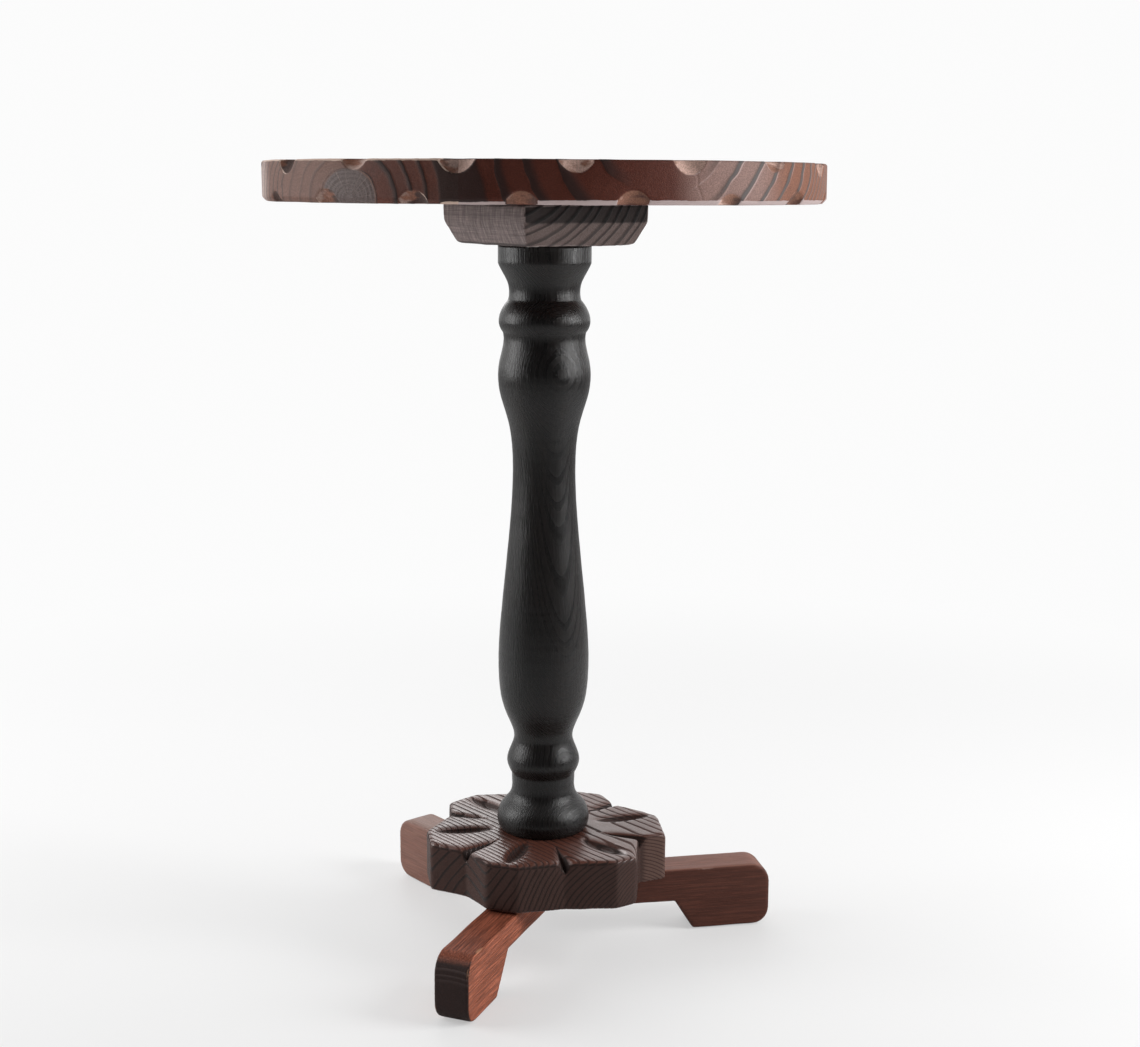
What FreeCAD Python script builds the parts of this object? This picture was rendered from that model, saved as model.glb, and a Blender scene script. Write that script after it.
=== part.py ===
import FreeCAD, Part
import collections
import math
import os

# Pedestal wine table: a round plank top on a block, a turned column, a carved disc and three block feet.
# Millimetres. The origin is on the floor under the column, +Z is up, and the viewer looks along +Y.

Vector = FreeCAD.Vector
UP = Vector(0, 0, 1)
ORIGIN = Vector(0, 0, 0)
FULL_TURN = 360.0
HALF_TURN = 180.0
FRONT = 270.0  # azimuth of the side towards the viewer, counted from +X

# Overall and fitting allowances
TABLE_HEIGHT = 535.0
CUT_OVERRUN = 5.0  # how far every cutter runs past the face it opens
FIT_CLEARANCE = 0.15  # around tenons, dowels and screws
SAME_PLACE = 0.001  # points this near count as one

# Round top of two edge-glued boards
TOP_DIAMETER = 365.0
TOP_THICKNESS = 25.5
TOP_UPPER_ARRIS = 1.2
TOP_LOWER_BEVEL = 2.8
GLUE_LINE_X = -46.0
UPPER_GOUGES = 17
LOWER_GOUGES = 18
UPPER_GOUGE_PHASE = FRONT + 6.2
LOWER_GOUGE_PHASE = FRONT - 3.4
GOUGE_RADIUS = 13.5
GOUGE_DEPTH = 5.6
GOUGE_LENGTH = 44.0
GOUGE_DEPTH_SPREAD_SHARE = 0.14  # hand-cut gouges differ this much in depth
GOUGE_SPREAD_STEP = 2.4  # radians from one gouge to the next in that spread

# Dowels across the glue line
DOWEL_DIAMETER = 8.0
DOWEL_LENGTH = 50.0
DOWEL_END_GAP = 0.5
DOWEL_PLACE_SHARES = (-0.58, 0.0, 0.58)  # of the top's radius, along the glue line

# Square block under the top
BLOCK_SIDE = 98.0
BLOCK_THICKNESS = 27.5
BLOCK_BEVEL_HEIGHT = 15.0
BLOCK_BEVEL_INSET = 6.5
BLOCK_CORNER_AZIMUTH = FRONT - 10.0

# Turned column
COLUMN_RADIUS = 32.0
TENON_DIAMETER = 25.0
WEDGE_THICKNESS = 3.0
WEDGE_TIP_THICKNESS = 1.0
WEDGE_LENGTH = 20.0

# Carved disc
DISC_RADIUS = 87.0
DISC_NOTCH_RADIUS = 70.0
DISC_THICKNESS = 35.0
DISC_ARRIS = 2.0
GROOVE_START_RADIUS = 37.0
GROOVE_DEPTH = 9.5
GROOVE_WIDTH = 8.0
LENS_LENGTH = 50.0
LENS_RADIUS = 5.5
LENS_DEPTH = 4.0

# Feet
FOOT_HEIGHT = 45.5
FOOT_INNER_RADIUS = 22.0
FOOT_HEEL_END = 106.5
FOOT_TOE_RADIUS = 12.0
FOOT_CROWN_RADIUS = 14.0
FOOT_ARRIS = 1.2
RIGHT_FOOT_REACH = 163.0
RIGHT_FOOT_WIDTH = 28.0
RIGHT_FOOT_BAR = 24.0
RIGHT_FOOT_HEEL_START = 93.0
RIGHT_FOOT_AZIMUTH = 11.2
REAR_FOOT_REACH = 156.0
REAR_FOOT_WIDTH = 25.0
REAR_FOOT_BAR = 22.0
REAR_FOOT_HEEL_START = 91.0
REAR_FOOT_AZIMUTH = 131.2
FRONT_FOOT_REACH = 152.0
FRONT_FOOT_WIDTH = 24.5
FRONT_FOOT_BAR = 19.5
FRONT_FOOT_HEEL_START = 88.0
FRONT_FOOT_AZIMUTH = 248.4

# Slotted wood screws
SCREW_HEAD_RADIUS = 4.0
SCREW_HEAD_RIM = 0.6
SCREW_HEAD_HEIGHT = 3.0
SCREW_SHANK_RADIUS = 2.0
SCREW_TIP_LENGTH = 5.0
SCREW_SLOT_WIDTH = 1.0
SCREW_SLOT_DEPTH = 1.1
FOOT_SCREW_GRIP = 16.0
FOOT_SCREW_INSET = 13.0
FOOT_SCREW_PITCH = 26.0
BLOCK_SCREW_GRIP = 14.0
BLOCK_SCREW_RADIUS = 41.0

# Levels that follow from the sizes above
TOP_RADIUS = TOP_DIAMETER / 2
TENON_RADIUS = TENON_DIAMETER / 2
TOP_UNDERSIDE = TABLE_HEIGHT - TOP_THICKNESS
BLOCK_UNDERSIDE = TOP_UNDERSIDE - BLOCK_THICKNESS
DISC_UNDERSIDE = FOOT_HEIGHT
DISC_TOP = DISC_UNDERSIDE + DISC_THICKNESS
COLUMN_LENGTH = BLOCK_UNDERSIDE - DISC_TOP

# The three hand-sawn feet: reach from the table's axis, width, thickness of the bar, where the heel starts
# and azimuth.
Foot = collections.namedtuple("Foot", "reach width bar heel_start azimuth")
FEET = {
    "foot_right": Foot(
        RIGHT_FOOT_REACH, RIGHT_FOOT_WIDTH, RIGHT_FOOT_BAR, RIGHT_FOOT_HEEL_START, RIGHT_FOOT_AZIMUTH
    ),
    "foot_rear": Foot(
        REAR_FOOT_REACH, REAR_FOOT_WIDTH, REAR_FOOT_BAR, REAR_FOOT_HEEL_START, REAR_FOOT_AZIMUTH
    ),
    "foot_front": Foot(
        FRONT_FOOT_REACH, FRONT_FOOT_WIDTH, FRONT_FOOT_BAR, FRONT_FOOT_HEEL_START, FRONT_FOOT_AZIMUTH
    ),
}

# Turned members from the foot of the column upwards: (share of the column's length, share of its radius).
# Neighbouring members share a point, which is a crease or a sharp edge.
BASE_RING_SHARES = (
    (0.0, 0.93), (0.015, 1.0), (0.032, 0.968), (0.0436, 0.89), (0.0545, 0.77), (0.066, 0.695),
    (0.081, 0.675), (0.0984, 0.684),
)
LOWER_BEAD_SHARES = (
    (0.0984, 0.684), (0.1085, 0.745), (0.1208, 0.784), (0.1357, 0.745), (0.1507, 0.67), (0.162, 0.632),
)
VASE_SHARES = (
    (0.162, 0.632), (0.1731, 0.645), (0.1955, 0.753), (0.2279, 0.895), (0.2677, 0.96), (0.3126, 0.969),
    (0.3773, 0.915), (0.472, 0.797), (0.5641, 0.692), (0.6264, 0.66), (0.6762, 0.685), (0.7111, 0.76),
    (0.7559, 0.925), (0.7883, 0.968), (0.8182, 0.917), (0.8431, 0.852), (0.8575, 0.866),
)
UPPER_BEAD_SHARES = ((0.8575, 0.866), (0.8767, 0.953), (0.892, 0.91), (0.9103, 0.76))
COVE_SHARES = ((0.9103, 0.76), (0.9215, 0.738), (0.9377, 0.763), (0.9577, 0.888), (0.971, 0.969))
COLLAR_SHARE = 0.969

# Hand-cut petals of the disc, in degrees: the groove before the petal, its two corners and the lens-shaped
# gouge on it, each corner and gouge followed by its share of the disc's radius.
PETAL_SHARES = (
    (342.0, 350.5, 1.0, 16.0, 0.98, 16.0, 0.675),
    (42.5, 58.0, 0.92, 88.0, 0.92, 72.0, 0.608),
    (102.5, 128.0, 0.95, 146.0, 0.96, 134.0, 0.65),
    (161.0, 186.0, 0.94, 205.0, 0.97, 189.5, 0.63),
    (223.0, 242.0, 0.91, 258.0, 0.9, 252.0, 0.612),
    (283.0, 306.5, 0.97, 317.5, 1.0, 316.0, 0.66),
)


def polar(radius, azimuth, height):
    """Point at a radius, an azimuth in degrees and a height."""
    angle = math.radians(azimuth)
    return Vector(radius * math.cos(angle), radius * math.sin(angle), height)


def turned(shape, azimuth):
    """The shape turned about the table's axis."""
    return shape.rotate(ORIGIN, UP, azimuth)


def closed_face(points):
    """Flat face with straight sides."""
    return Part.Face(Part.makePolygon(points + points[:1]))


def lathe(edges):
    """Solid of revolution about the table's axis from the edges of half its section."""
    return Part.Face(Part.Wire(edges)).revolve(ORIGIN, UP, FULL_TURN)


def lathe_polygon(section):
    """Solid of revolution from (radius, height) points."""
    points = [Vector(radius, 0, height) for radius, height in section]
    return closed_face(points).revolve(ORIGIN, UP, FULL_TURN)


def wood_screw(length, clearance):
    """Slotted countersunk screw that points up from the origin, or the hole for it with a clearance."""
    head = SCREW_HEAD_RADIUS + clearance
    shank = SCREW_SHANK_RADIUS + clearance
    tip = length + clearance
    start = -CUT_OVERRUN if clearance else 0
    section = [
        (0, start),
        (head, start),
        (head, SCREW_HEAD_RIM),
        (shank, SCREW_HEAD_HEIGHT),
        (shank, length - SCREW_TIP_LENGTH),
        (0, tip),
    ]
    screw = lathe_polygon(section)
    if clearance:
        return screw
    slot = Part.makeBox(SCREW_HEAD_RADIUS * 2, SCREW_SLOT_WIDTH, SCREW_SLOT_DEPTH)
    slot.translate(Vector(-SCREW_HEAD_RADIUS, -SCREW_SLOT_WIDTH / 2, 0))
    return screw.cut(slot)


def placed(places, build):
    """One newly built shape at each place."""
    shapes = []
    for place in places:
        shape = build()
        shape.translate(place)
        shapes.append(shape)
    return shapes


def gouge(azimuth, number, side):
    """Round chisel cut at 45 degrees across the upper arris of the top (side 1) or the lower one (-1)."""
    spread = 1 + GOUGE_DEPTH_SPREAD_SHARE * math.sin(number * GOUGE_SPREAD_STEP)
    depth = GOUGE_DEPTH * spread
    arris_height = TABLE_HEIGHT if side > 0 else TOP_UNDERSIDE
    outward = polar(1, azimuth, side)
    outward.normalize()
    travel = polar(1, azimuth, -side)
    travel.normalize()
    arris = polar(TOP_RADIUS, azimuth, arris_height)
    start = arris + outward * (GOUGE_RADIUS - depth) - travel * (GOUGE_LENGTH / 2)
    return Part.makeCylinder(GOUGE_RADIUS, GOUGE_LENGTH, start, travel)


def carved_top():
    """The round top before it is split at the glue line."""
    section = [
        (0, TOP_UNDERSIDE),
        (TOP_RADIUS - TOP_LOWER_BEVEL, TOP_UNDERSIDE),
        (TOP_RADIUS, TOP_UNDERSIDE + TOP_LOWER_BEVEL),
        (TOP_RADIUS, TABLE_HEIGHT - TOP_UPPER_ARRIS),
        (TOP_RADIUS - TOP_UPPER_ARRIS, TABLE_HEIGHT),
        (0, TABLE_HEIGHT),
    ]
    cuts = []
    for number in range(UPPER_GOUGES):
        cuts.append(gouge(UPPER_GOUGE_PHASE + number * FULL_TURN / UPPER_GOUGES, number, 1))
    for number in range(LOWER_GOUGES):
        cuts.append(gouge(LOWER_GOUGE_PHASE + number * FULL_TURN / LOWER_GOUGES, number, -1))
    return lathe_polygon(section).cut(cuts)


def dowels(clearance):
    """Dowels across the glue line, or the holes for them with a clearance."""
    radius = DOWEL_DIAMETER / 2 + clearance
    length = DOWEL_LENGTH + (DOWEL_END_GAP * 2 if clearance else 0)
    height = TOP_UNDERSIDE + TOP_THICKNESS / 2
    pegs = []
    for share in DOWEL_PLACE_SHARES:
        start = Vector(GLUE_LINE_X - length / 2, TOP_RADIUS * share, height)
        pegs.append(Part.makeCylinder(radius, length, start, Vector(1, 0, 0)))
    return pegs


def block_screw_places():
    """Screw positions on the block's underside, one towards each corner."""
    places = []
    for quarter in range(4):
        azimuth = BLOCK_CORNER_AZIMUTH + quarter * FULL_TURN / 4
        places.append(polar(BLOCK_SCREW_RADIUS, azimuth, BLOCK_UNDERSIDE))
    return places


def block_screw(clearance):
    """One screw through the block into the top, or its hole."""
    return wood_screw(BLOCK_THICKNESS + BLOCK_SCREW_GRIP, clearance)


def top_boards():
    """The two boards of the top, with their dowel and screw holes."""
    holes = dowels(FIT_CLEARANCE) + placed(block_screw_places(), lambda: block_screw(FIT_CLEARANCE))
    top = carved_top().cut(holes)
    reach = TOP_RADIUS + CUT_OVERRUN
    depth = TOP_THICKNESS + CUT_OVERRUN * 2
    corner = Vector(GLUE_LINE_X - reach * 2, -reach, TOP_UNDERSIDE - CUT_OVERRUN)
    left_half = Part.makeBox(reach * 2, reach * 2, depth, corner)
    return top.common(left_half), top.cut(left_half)


def square_wire(side, height):
    """Square outline of the block at a height."""
    reach = side / math.sqrt(2)
    azimuths = [BLOCK_CORNER_AZIMUTH + quarter * FULL_TURN / 4 for quarter in range(4)]
    corners = [polar(reach, azimuth, height) for azimuth in azimuths]
    return Part.makePolygon(corners + corners[:1])


def top_block():
    """Square block with a bevelled lower part, the tenon's hole and the screw holes."""
    bevel_top = BLOCK_UNDERSIDE + BLOCK_BEVEL_HEIGHT
    lower_side = BLOCK_SIDE - BLOCK_BEVEL_INSET * 2
    upper = Part.Face(square_wire(BLOCK_SIDE, bevel_top)).extrude(UP * (TOP_UNDERSIDE - bevel_top))
    outlines = [square_wire(lower_side, BLOCK_UNDERSIDE), square_wire(BLOCK_SIDE, bevel_top)]
    block = upper.fuse(Part.makeLoft(outlines, True, True)).removeSplitter()
    cuts = placed(block_screw_places(), lambda: block_screw(FIT_CLEARANCE))
    cuts.append(tenon_hole(BLOCK_UNDERSIDE, BLOCK_THICKNESS))
    return block.cut(cuts)


def tenon_hole(start, depth):
    """Through hole for a tenon of the column."""
    base = Vector(0, 0, start - CUT_OVERRUN)
    return Part.makeCylinder(TENON_RADIUS + FIT_CLEARANCE, depth + CUT_OVERRUN * 2, base)


def column_point(shares):
    """Point of the column's section from its shares."""
    height_share, radius_share = shares
    return Vector(COLUMN_RADIUS * radius_share, 0, DISC_TOP + COLUMN_LENGTH * height_share)


def member(shares):
    """Smooth stretch of the column's section."""
    curve = Part.BSplineCurve()
    curve.interpolate([column_point(pair) for pair in shares])
    return curve.toShape()


def straight_edges(points):
    """Edges from point to point."""
    return [Part.LineSegment(start, end).toShape() for start, end in zip(points, points[1:])]


def wedge_prism(mouth, inward):
    """Tapered wedge across a tenon, from its mouth height inwards: up for inward 1, down for -1."""
    half_mouth = WEDGE_THICKNESS / 2
    half_tip = WEDGE_TIP_THICKNESS / 2
    tip = mouth + inward * WEDGE_LENGTH
    outline = [
        Vector(-TENON_DIAMETER, -half_mouth, mouth),
        Vector(-TENON_DIAMETER, half_mouth, mouth),
        Vector(-TENON_DIAMETER, half_tip, tip),
        Vector(-TENON_DIAMETER, -half_tip, tip),
    ]
    return closed_face(outline).extrude(Vector(TENON_DIAMETER * 2, 0, 0))


def wedges():
    """The lower and the upper wedge, each as wide as its tenon."""
    length = WEDGE_LENGTH
    lower_tenon = Part.makeCylinder(TENON_RADIUS, length, Vector(0, 0, DISC_UNDERSIDE))
    upper_tenon = Part.makeCylinder(TENON_RADIUS, length, Vector(0, 0, TOP_UNDERSIDE - length))
    lower = wedge_prism(DISC_UNDERSIDE, 1).common(lower_tenon)
    upper = wedge_prism(TOP_UNDERSIDE, -1).common(upper_tenon)
    return lower, upper


def column():
    """Turned baluster with a round tenon at each end, slotted for the wedges."""
    foot = column_point(BASE_RING_SHARES[0])
    crease = column_point(COVE_SHARES[-1])
    collar_top = Vector(COLUMN_RADIUS * COLLAR_SHARE, 0, BLOCK_UNDERSIDE)
    below = [
        Vector(0, 0, DISC_UNDERSIDE),
        Vector(TENON_RADIUS, 0, DISC_UNDERSIDE),
        Vector(TENON_RADIUS, 0, DISC_TOP),
        foot,
    ]
    above = [
        crease,
        collar_top,
        Vector(TENON_RADIUS, 0, BLOCK_UNDERSIDE),
        Vector(TENON_RADIUS, 0, TOP_UNDERSIDE),
        Vector(0, 0, TOP_UNDERSIDE),
        Vector(0, 0, DISC_UNDERSIDE),
    ]
    members = [BASE_RING_SHARES, LOWER_BEAD_SHARES, VASE_SHARES, UPPER_BEAD_SHARES, COVE_SHARES]
    edges = straight_edges(below) + [member(shares) for shares in members] + straight_edges(above)
    return lathe(edges).cut([wedge_prism(DISC_UNDERSIDE, 1), wedge_prism(TOP_UNDERSIDE, -1)])


def disc_wire(inset, height):
    """Petalled outline of the disc, drawn in by an inset, at a height."""
    size = (DISC_RADIUS - inset) / DISC_RADIUS
    points = []
    for groove, first, first_share, second, second_share, _, _ in PETAL_SHARES:
        points.append(polar(DISC_NOTCH_RADIUS * size, groove, height))
        points.append(polar(DISC_RADIUS * first_share * size, first, height))
        points.append(polar(DISC_RADIUS * second_share * size, second, height))
    return Part.makePolygon(points + points[:1])


def radial_groove(azimuth):
    """V-shaped cutter that deepens from the column towards the rim."""
    slope = GROOVE_DEPTH / (DISC_NOTCH_RADIUS - GROOVE_START_RADIUS)
    half_share = GROOVE_WIDTH / 2 / GROOVE_DEPTH
    run = DISC_RADIUS - GROOVE_START_RADIUS
    rise = run * slope + CUT_OVERRUN
    outline = [
        Vector(GROOVE_START_RADIUS, 0, DISC_TOP),
        Vector(GROOVE_START_RADIUS, rise * half_share, DISC_TOP + rise),
        Vector(GROOVE_START_RADIUS, -rise * half_share, DISC_TOP + rise),
    ]
    return turned(closed_face(outline).extrude(Vector(run, 0, -run * slope)), azimuth)


def lens_gouge(azimuth, centre_share):
    """Spindle-shaped cutter that leaves a pointed hollow on a petal."""
    axis_height = DISC_TOP + LENS_RADIUS - LENS_DEPTH
    centre = DISC_RADIUS * centre_share
    start = Vector(centre - LENS_LENGTH / 2, 0, axis_height)
    middle = Vector(centre, 0, axis_height - LENS_RADIUS)
    end = Vector(centre + LENS_LENGTH / 2, 0, axis_height)
    outline = Part.Wire([Part.Arc(start, middle, end).toShape(), Part.LineSegment(end, start).toShape()])
    spindle = Part.Face(outline).revolve(start, Vector(1, 0, 0), FULL_TURN)
    return turned(spindle, azimuth)


def base_disc():
    """Carved disc with petals, radial grooves, lens gouges, the tenon's hole and the foot screws' holes."""
    rim_top = DISC_TOP - DISC_ARRIS
    body = Part.Face(disc_wire(0, DISC_UNDERSIDE)).extrude(UP * (rim_top - DISC_UNDERSIDE))
    crown = Part.makeLoft([disc_wire(0, rim_top), disc_wire(DISC_ARRIS, DISC_TOP)], True, True)
    cuts = [tenon_hole(DISC_UNDERSIDE, DISC_THICKNESS)]
    for groove, *_, lens, lens_share in PETAL_SHARES:
        cuts.append(radial_groove(groove))
        cuts.append(lens_gouge(lens, lens_share))
    for shape in FEET.values():
        cuts += screws_of_foot(shape, FIT_CLEARANCE)
    return body.fuse(crown).removeSplitter().cut(cuts)


def screws_of_foot(shape, clearance):
    """Two screws through the bar of a foot into the disc, or the holes for them with a clearance."""
    inner = FOOT_INNER_RADIUS + FOOT_SCREW_INSET
    underside = FOOT_HEIGHT - shape.bar
    places = [polar(inner + step * FOOT_SCREW_PITCH, shape.azimuth, underside) for step in range(2)]
    return placed(places, lambda: wood_screw(shape.bar + FOOT_SCREW_GRIP, clearance))


def corner_arc(centre, radius, start_azimuth):
    """Quarter of a circle in the foot's side outline, counter-clockwise from an angle."""
    angles = [math.radians(start_azimuth + share * HALF_TURN / 4) for share in range(3)]
    points = [centre + Vector(radius * math.cos(a), 0, radius * math.sin(a)) for a in angles]
    return Part.Arc(*points).toShape()


def foot(shape):
    """Bar with a block at its outer end, rounded at toe and crown, with its arrises eased."""
    side = -shape.width / 2
    underside = FOOT_HEIGHT - shape.bar
    crown_height = FOOT_HEIGHT - FOOT_CROWN_RADIUS
    toe_centre = Vector(shape.reach - FOOT_TOE_RADIUS, side, FOOT_TOE_RADIUS)
    crown_centre = Vector(shape.reach - FOOT_CROWN_RADIUS, side, crown_height)
    bottom = [
        Vector(FOOT_INNER_RADIUS, side, FOOT_HEIGHT),
        Vector(FOOT_INNER_RADIUS, side, underside),
        Vector(shape.heel_start, side, underside),
        Vector(FOOT_HEEL_END, side, 0),
        Vector(toe_centre.x, side, 0),
    ]
    end = [Vector(shape.reach, side, FOOT_TOE_RADIUS), Vector(shape.reach, side, crown_height)]
    top = [Vector(crown_centre.x, side, FOOT_HEIGHT), bottom[0]]
    edges = straight_edges(bottom)
    edges.append(corner_arc(toe_centre, FOOT_TOE_RADIUS, -HALF_TURN / 2))
    edges += straight_edges(end)
    edges.append(corner_arc(crown_centre, FOOT_CROWN_RADIUS, 0))
    edges += straight_edges(top)
    bar = Part.Face(Part.Wire(edges)).extrude(Vector(0, shape.width, 0))
    side_edges = [edge for edge in bar.Edges if edge.BoundBox.YLength < SAME_PLACE]
    bar = turned(bar.makeChamfer(FOOT_ARRIS, side_edges), shape.azimuth)
    return bar.cut(screws_of_foot(shape, FIT_CLEARANCE))


def foot_screws():
    """The screws of all feet, as separate solids."""
    screws = []
    for shape in FEET.values():
        screws += screws_of_foot(shape, 0)
    return Part.makeCompound(screws)


def pieces():
    """Every piece of the table by name."""
    narrow, wide = top_boards()
    lower_wedge, upper_wedge = wedges()
    parts = {
        "top_board_narrow": narrow,
        "top_board_wide": wide,
        "board_dowels": Part.makeCompound(dowels(0)),
        "top_block": top_block(),
        "top_block_screws": Part.makeCompound(placed(block_screw_places(), lambda: block_screw(0))),
        "column": column(),
        "upper_wedge": upper_wedge,
        "lower_wedge": lower_wedge,
        "base_disc": base_disc(),
        "foot_screws": foot_screws(),
    }
    for name, shape in FEET.items():
        parts[name] = foot(shape)
    return parts


os.makedirs("parts", exist_ok=True)
for piece_name, piece in pieces().items():
    piece.exportStep("parts/" + piece_name + ".step")
    print(piece_name, "solids", len(piece.Solids), "valid", piece.isValid(), "volume", round(piece.Volume))
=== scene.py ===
"""Looks of a pedestal table: brushed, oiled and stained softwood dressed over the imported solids.

Every mesh is in metres in the row frame. The classes keep their sizes in millimetres, as a maker would.
"""
import logging
import math
from dataclasses import dataclass
from enum import Enum
from functools import reduce
from typing import Iterable, Optional, Sequence, Union

import bmesh
import bpy
import numpy as np
from mathutils import Euler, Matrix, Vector
from mathutils.bvhtree import BVHTree


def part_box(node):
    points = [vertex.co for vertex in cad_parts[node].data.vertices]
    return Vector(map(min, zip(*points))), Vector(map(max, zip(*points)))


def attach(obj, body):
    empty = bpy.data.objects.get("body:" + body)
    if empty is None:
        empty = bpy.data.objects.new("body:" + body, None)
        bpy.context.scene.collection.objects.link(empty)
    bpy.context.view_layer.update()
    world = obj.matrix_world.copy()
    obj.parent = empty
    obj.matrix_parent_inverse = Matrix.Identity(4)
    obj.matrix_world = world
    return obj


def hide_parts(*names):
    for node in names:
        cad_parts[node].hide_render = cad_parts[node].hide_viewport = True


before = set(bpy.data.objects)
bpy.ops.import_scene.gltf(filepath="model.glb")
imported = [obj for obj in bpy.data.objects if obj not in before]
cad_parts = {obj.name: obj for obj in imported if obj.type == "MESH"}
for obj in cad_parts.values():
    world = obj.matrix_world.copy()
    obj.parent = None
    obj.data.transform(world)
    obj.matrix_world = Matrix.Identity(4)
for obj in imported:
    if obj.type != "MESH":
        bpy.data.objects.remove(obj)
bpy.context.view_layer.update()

logging.basicConfig(level=logging.INFO, format="%(name)s: %(message)s")
LOG = logging.getLogger("table")

Array = np.ndarray
Mesh = bpy.types.Mesh
Node = bpy.types.Node
NodeTree = bpy.types.NodeTree
Socket = bpy.types.NodeSocket
Span = tuple[float, float]
Place = tuple[float, float, float]
Colour = tuple[float, float, float]
Feed = Union[float, Place, Colour, Socket]
Outputs = dict[str, Socket]

MM = 0.001
IMAGE_WIDTH = 1140
CUT_DEPTH = "cut_depth"

# Shares of a year's growth: where its late wood breaks off, and a part that is always dark.
YEAR_TAIL = 0.965
YEAR_DARK = 0.9
# Late wood where it is faint: the shares of a year over which it rises, and its share of the full relief.
FAINT_BAND: Span = (0.7, 0.86)
FAINT_RELIEF = 0.25
# How far a normal leans: from upright faces to level ones, and from long grain to end grain.
LEVEL: Span = (0.35, 0.75)
END_GRAIN: Span = (0.5, 0.85)
# How growth rings waver: slower along the fibre, in waves of a share, a fineness and a step of the seed.
FIBRE_STRETCH = np.array([1.0, 1.0, 6.0])
WAVERS = ((1.0, 1.0, 0), (0.35, 3.1, 7))
# Shares of the core's radius over which the core ends.
CORE_EDGE: Span = (0.9, 1.05)
# Steps of a log's seed: for uneven faces and for uneven wear.
FACE_SEED = 3
WEAR_SEED = 5
# Numbers that scramble a lattice cell into a value that seems random.
WORD = np.uint64(0xFFFFFFFF)
CELL_PRIMES = np.array((73856093, 19349663, 83492791), np.uint64)
SEED_PRIME = 2654435761
SCRAMBLES = ((15, 2246822519), (13, 3266489917), (16, 1))


class Slot(Enum):
    """Material slots of the record."""

    TOP = "top_wood"
    BLOCK = "block_wood"
    COLUMN = "column_stain"
    DISC = "disc_wood"
    FOOT = "foot_wood"
    PEG = "peg_wood"
    SCREW = "screw_steel"


class Mask(Enum):
    """Values that a dressed mesh carries at its points for its finish to read."""

    YEARS = "years"
    GRAIN = "grain"
    # Pale arrises: wear, and painted light on bevels and painted highlights.
    WEAR_AND_LIGHT = "worn"
    # Fresh cuts, and painted light and shade on some pieces.
    CUT_AND_LIGHT = "hollow"
    END = "end"
    BOLD = "bold"
    # Stain in the gouges, and painted light and shade on their walls.
    STAIN_AND_LIGHT = "stain"
    LINES = "lines"
    SAP = "sap"


def smoothstep(low: float, high: float, values: Array) -> Array:
    """Eased ramp from 0 at low to 1 at high."""
    share = np.clip((values - low) / (high - low), 0.0, 1.0)
    return share * share * (3.0 - 2.0 * share)


def lattice_noise(places: Array, seed: int) -> Array:
    """Smooth noise with one lattice cell per unit, the same on every run.

    Args:
        places: points as rows of three coordinates.
        seed: number that tells one field from another.

    Returns:
        One value from -1 to 1 for each point.
    """
    cell = np.floor(places).astype(np.int64)
    share = smoothstep(0.0, 1.0, places - cell)
    total = np.zeros(len(places))
    for corner in np.ndindex(2, 2, 2):
        at = (cell + corner).astype(np.uint64) * CELL_PRIMES
        mixed = ((at[:, 0] ^ at[:, 1] ^ at[:, 2]) + np.uint64(seed * SEED_PRIME)) & WORD
        for shift, prime in SCRAMBLES:
            mixed = ((mixed ^ (mixed >> np.uint64(shift))) * np.uint64(prime)) & WORD
        weight = np.prod(np.where(corner, share, 1.0 - share), axis=1)
        total += (mixed / float(WORD) * 2.0 - 1.0) * weight
    return total


def read_rows(items: Iterable, field: str, width: int, kind: type = np.float32) -> Array:
    """Numbers that a mesh holds for each of its points or edges.

    Args:
        items: the mesh's collection.
        field: what is read of each item.
        width: how many numbers an item has.
        kind: kind of the numbers.

    Returns:
        One row for each item.
    """
    values = np.empty(len(items) * width, kind)
    items.foreach_get(field, values)
    return values.reshape(-1, width)


def read_points(mesh: Mesh) -> Array:
    """The mesh's points."""
    return read_rows(mesh.vertices, "co", 3).astype(float)


def read_edges(mesh: Mesh) -> Array:
    """Pairs of point numbers, one row for each edge."""
    return read_rows(mesh.edges, "vertices", 2, np.int32)


def write_points(mesh: Mesh, points: Array) -> None:
    """Puts the mesh's points at new places."""
    mesh.vertices.foreach_set("co", points.astype(np.float32).ravel())
    mesh.update()


def store(mesh: Mesh, name: str, values: Array) -> None:
    """Keeps values in the mesh.

    Args:
        mesh: the mesh.
        name: what the values are called.
        values: one value or one vector for each point.
    """
    kind, field = ("FLOAT_VECTOR", "vector") if values.ndim > 1 else ("FLOAT", "value")
    attribute = mesh.attributes.new(name, kind, "POINT")
    attribute.data.foreach_set(field, values.astype(np.float32).ravel())


def neighbour_mean(values: Array, edges: Array) -> Array:
    """Mean of each point's neighbours along the edges.

    Args:
        values: one value or one row for each point.
        edges: pairs of point numbers.

    Returns:
        An array like the values.
    """
    size = len(values)
    count = np.maximum(np.bincount(edges.ravel(), minlength=size), 1.0)
    flat = values.reshape(size, -1)
    sums = np.zeros(flat.shape)
    for column, total in zip(flat.T, sums.T):
        for near, far in (edges.T, edges.T[::-1]):
            total += np.bincount(near, column[far], size)
    return (sums / count[:, None]).reshape(values.shape)


def softened(values: Array, edges: Array, rounds: int) -> Array:
    """Values or points averaged with their neighbours a number of times.

    Args:
        values: one value or one row for each point.
        edges: pairs of point numbers.
        rounds: how many times.

    Returns:
        An array like the values.
    """
    for _ in range(rounds):
        values = 0.5 * values + 0.5 * neighbour_mean(values, edges)
    return values


def mesh_from(name: str, points: Array, faces: Sequence[Sequence[int]]) -> Mesh:
    """New mesh.

    Args:
        name: its name.
        points: its points.
        faces: the point numbers of each face.

    Returns:
        The mesh.
    """
    mesh = bpy.data.meshes.new(name)
    mesh.from_pydata(points.tolist(), [], faces)
    mesh.validate()
    mesh.update()
    return mesh


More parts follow.
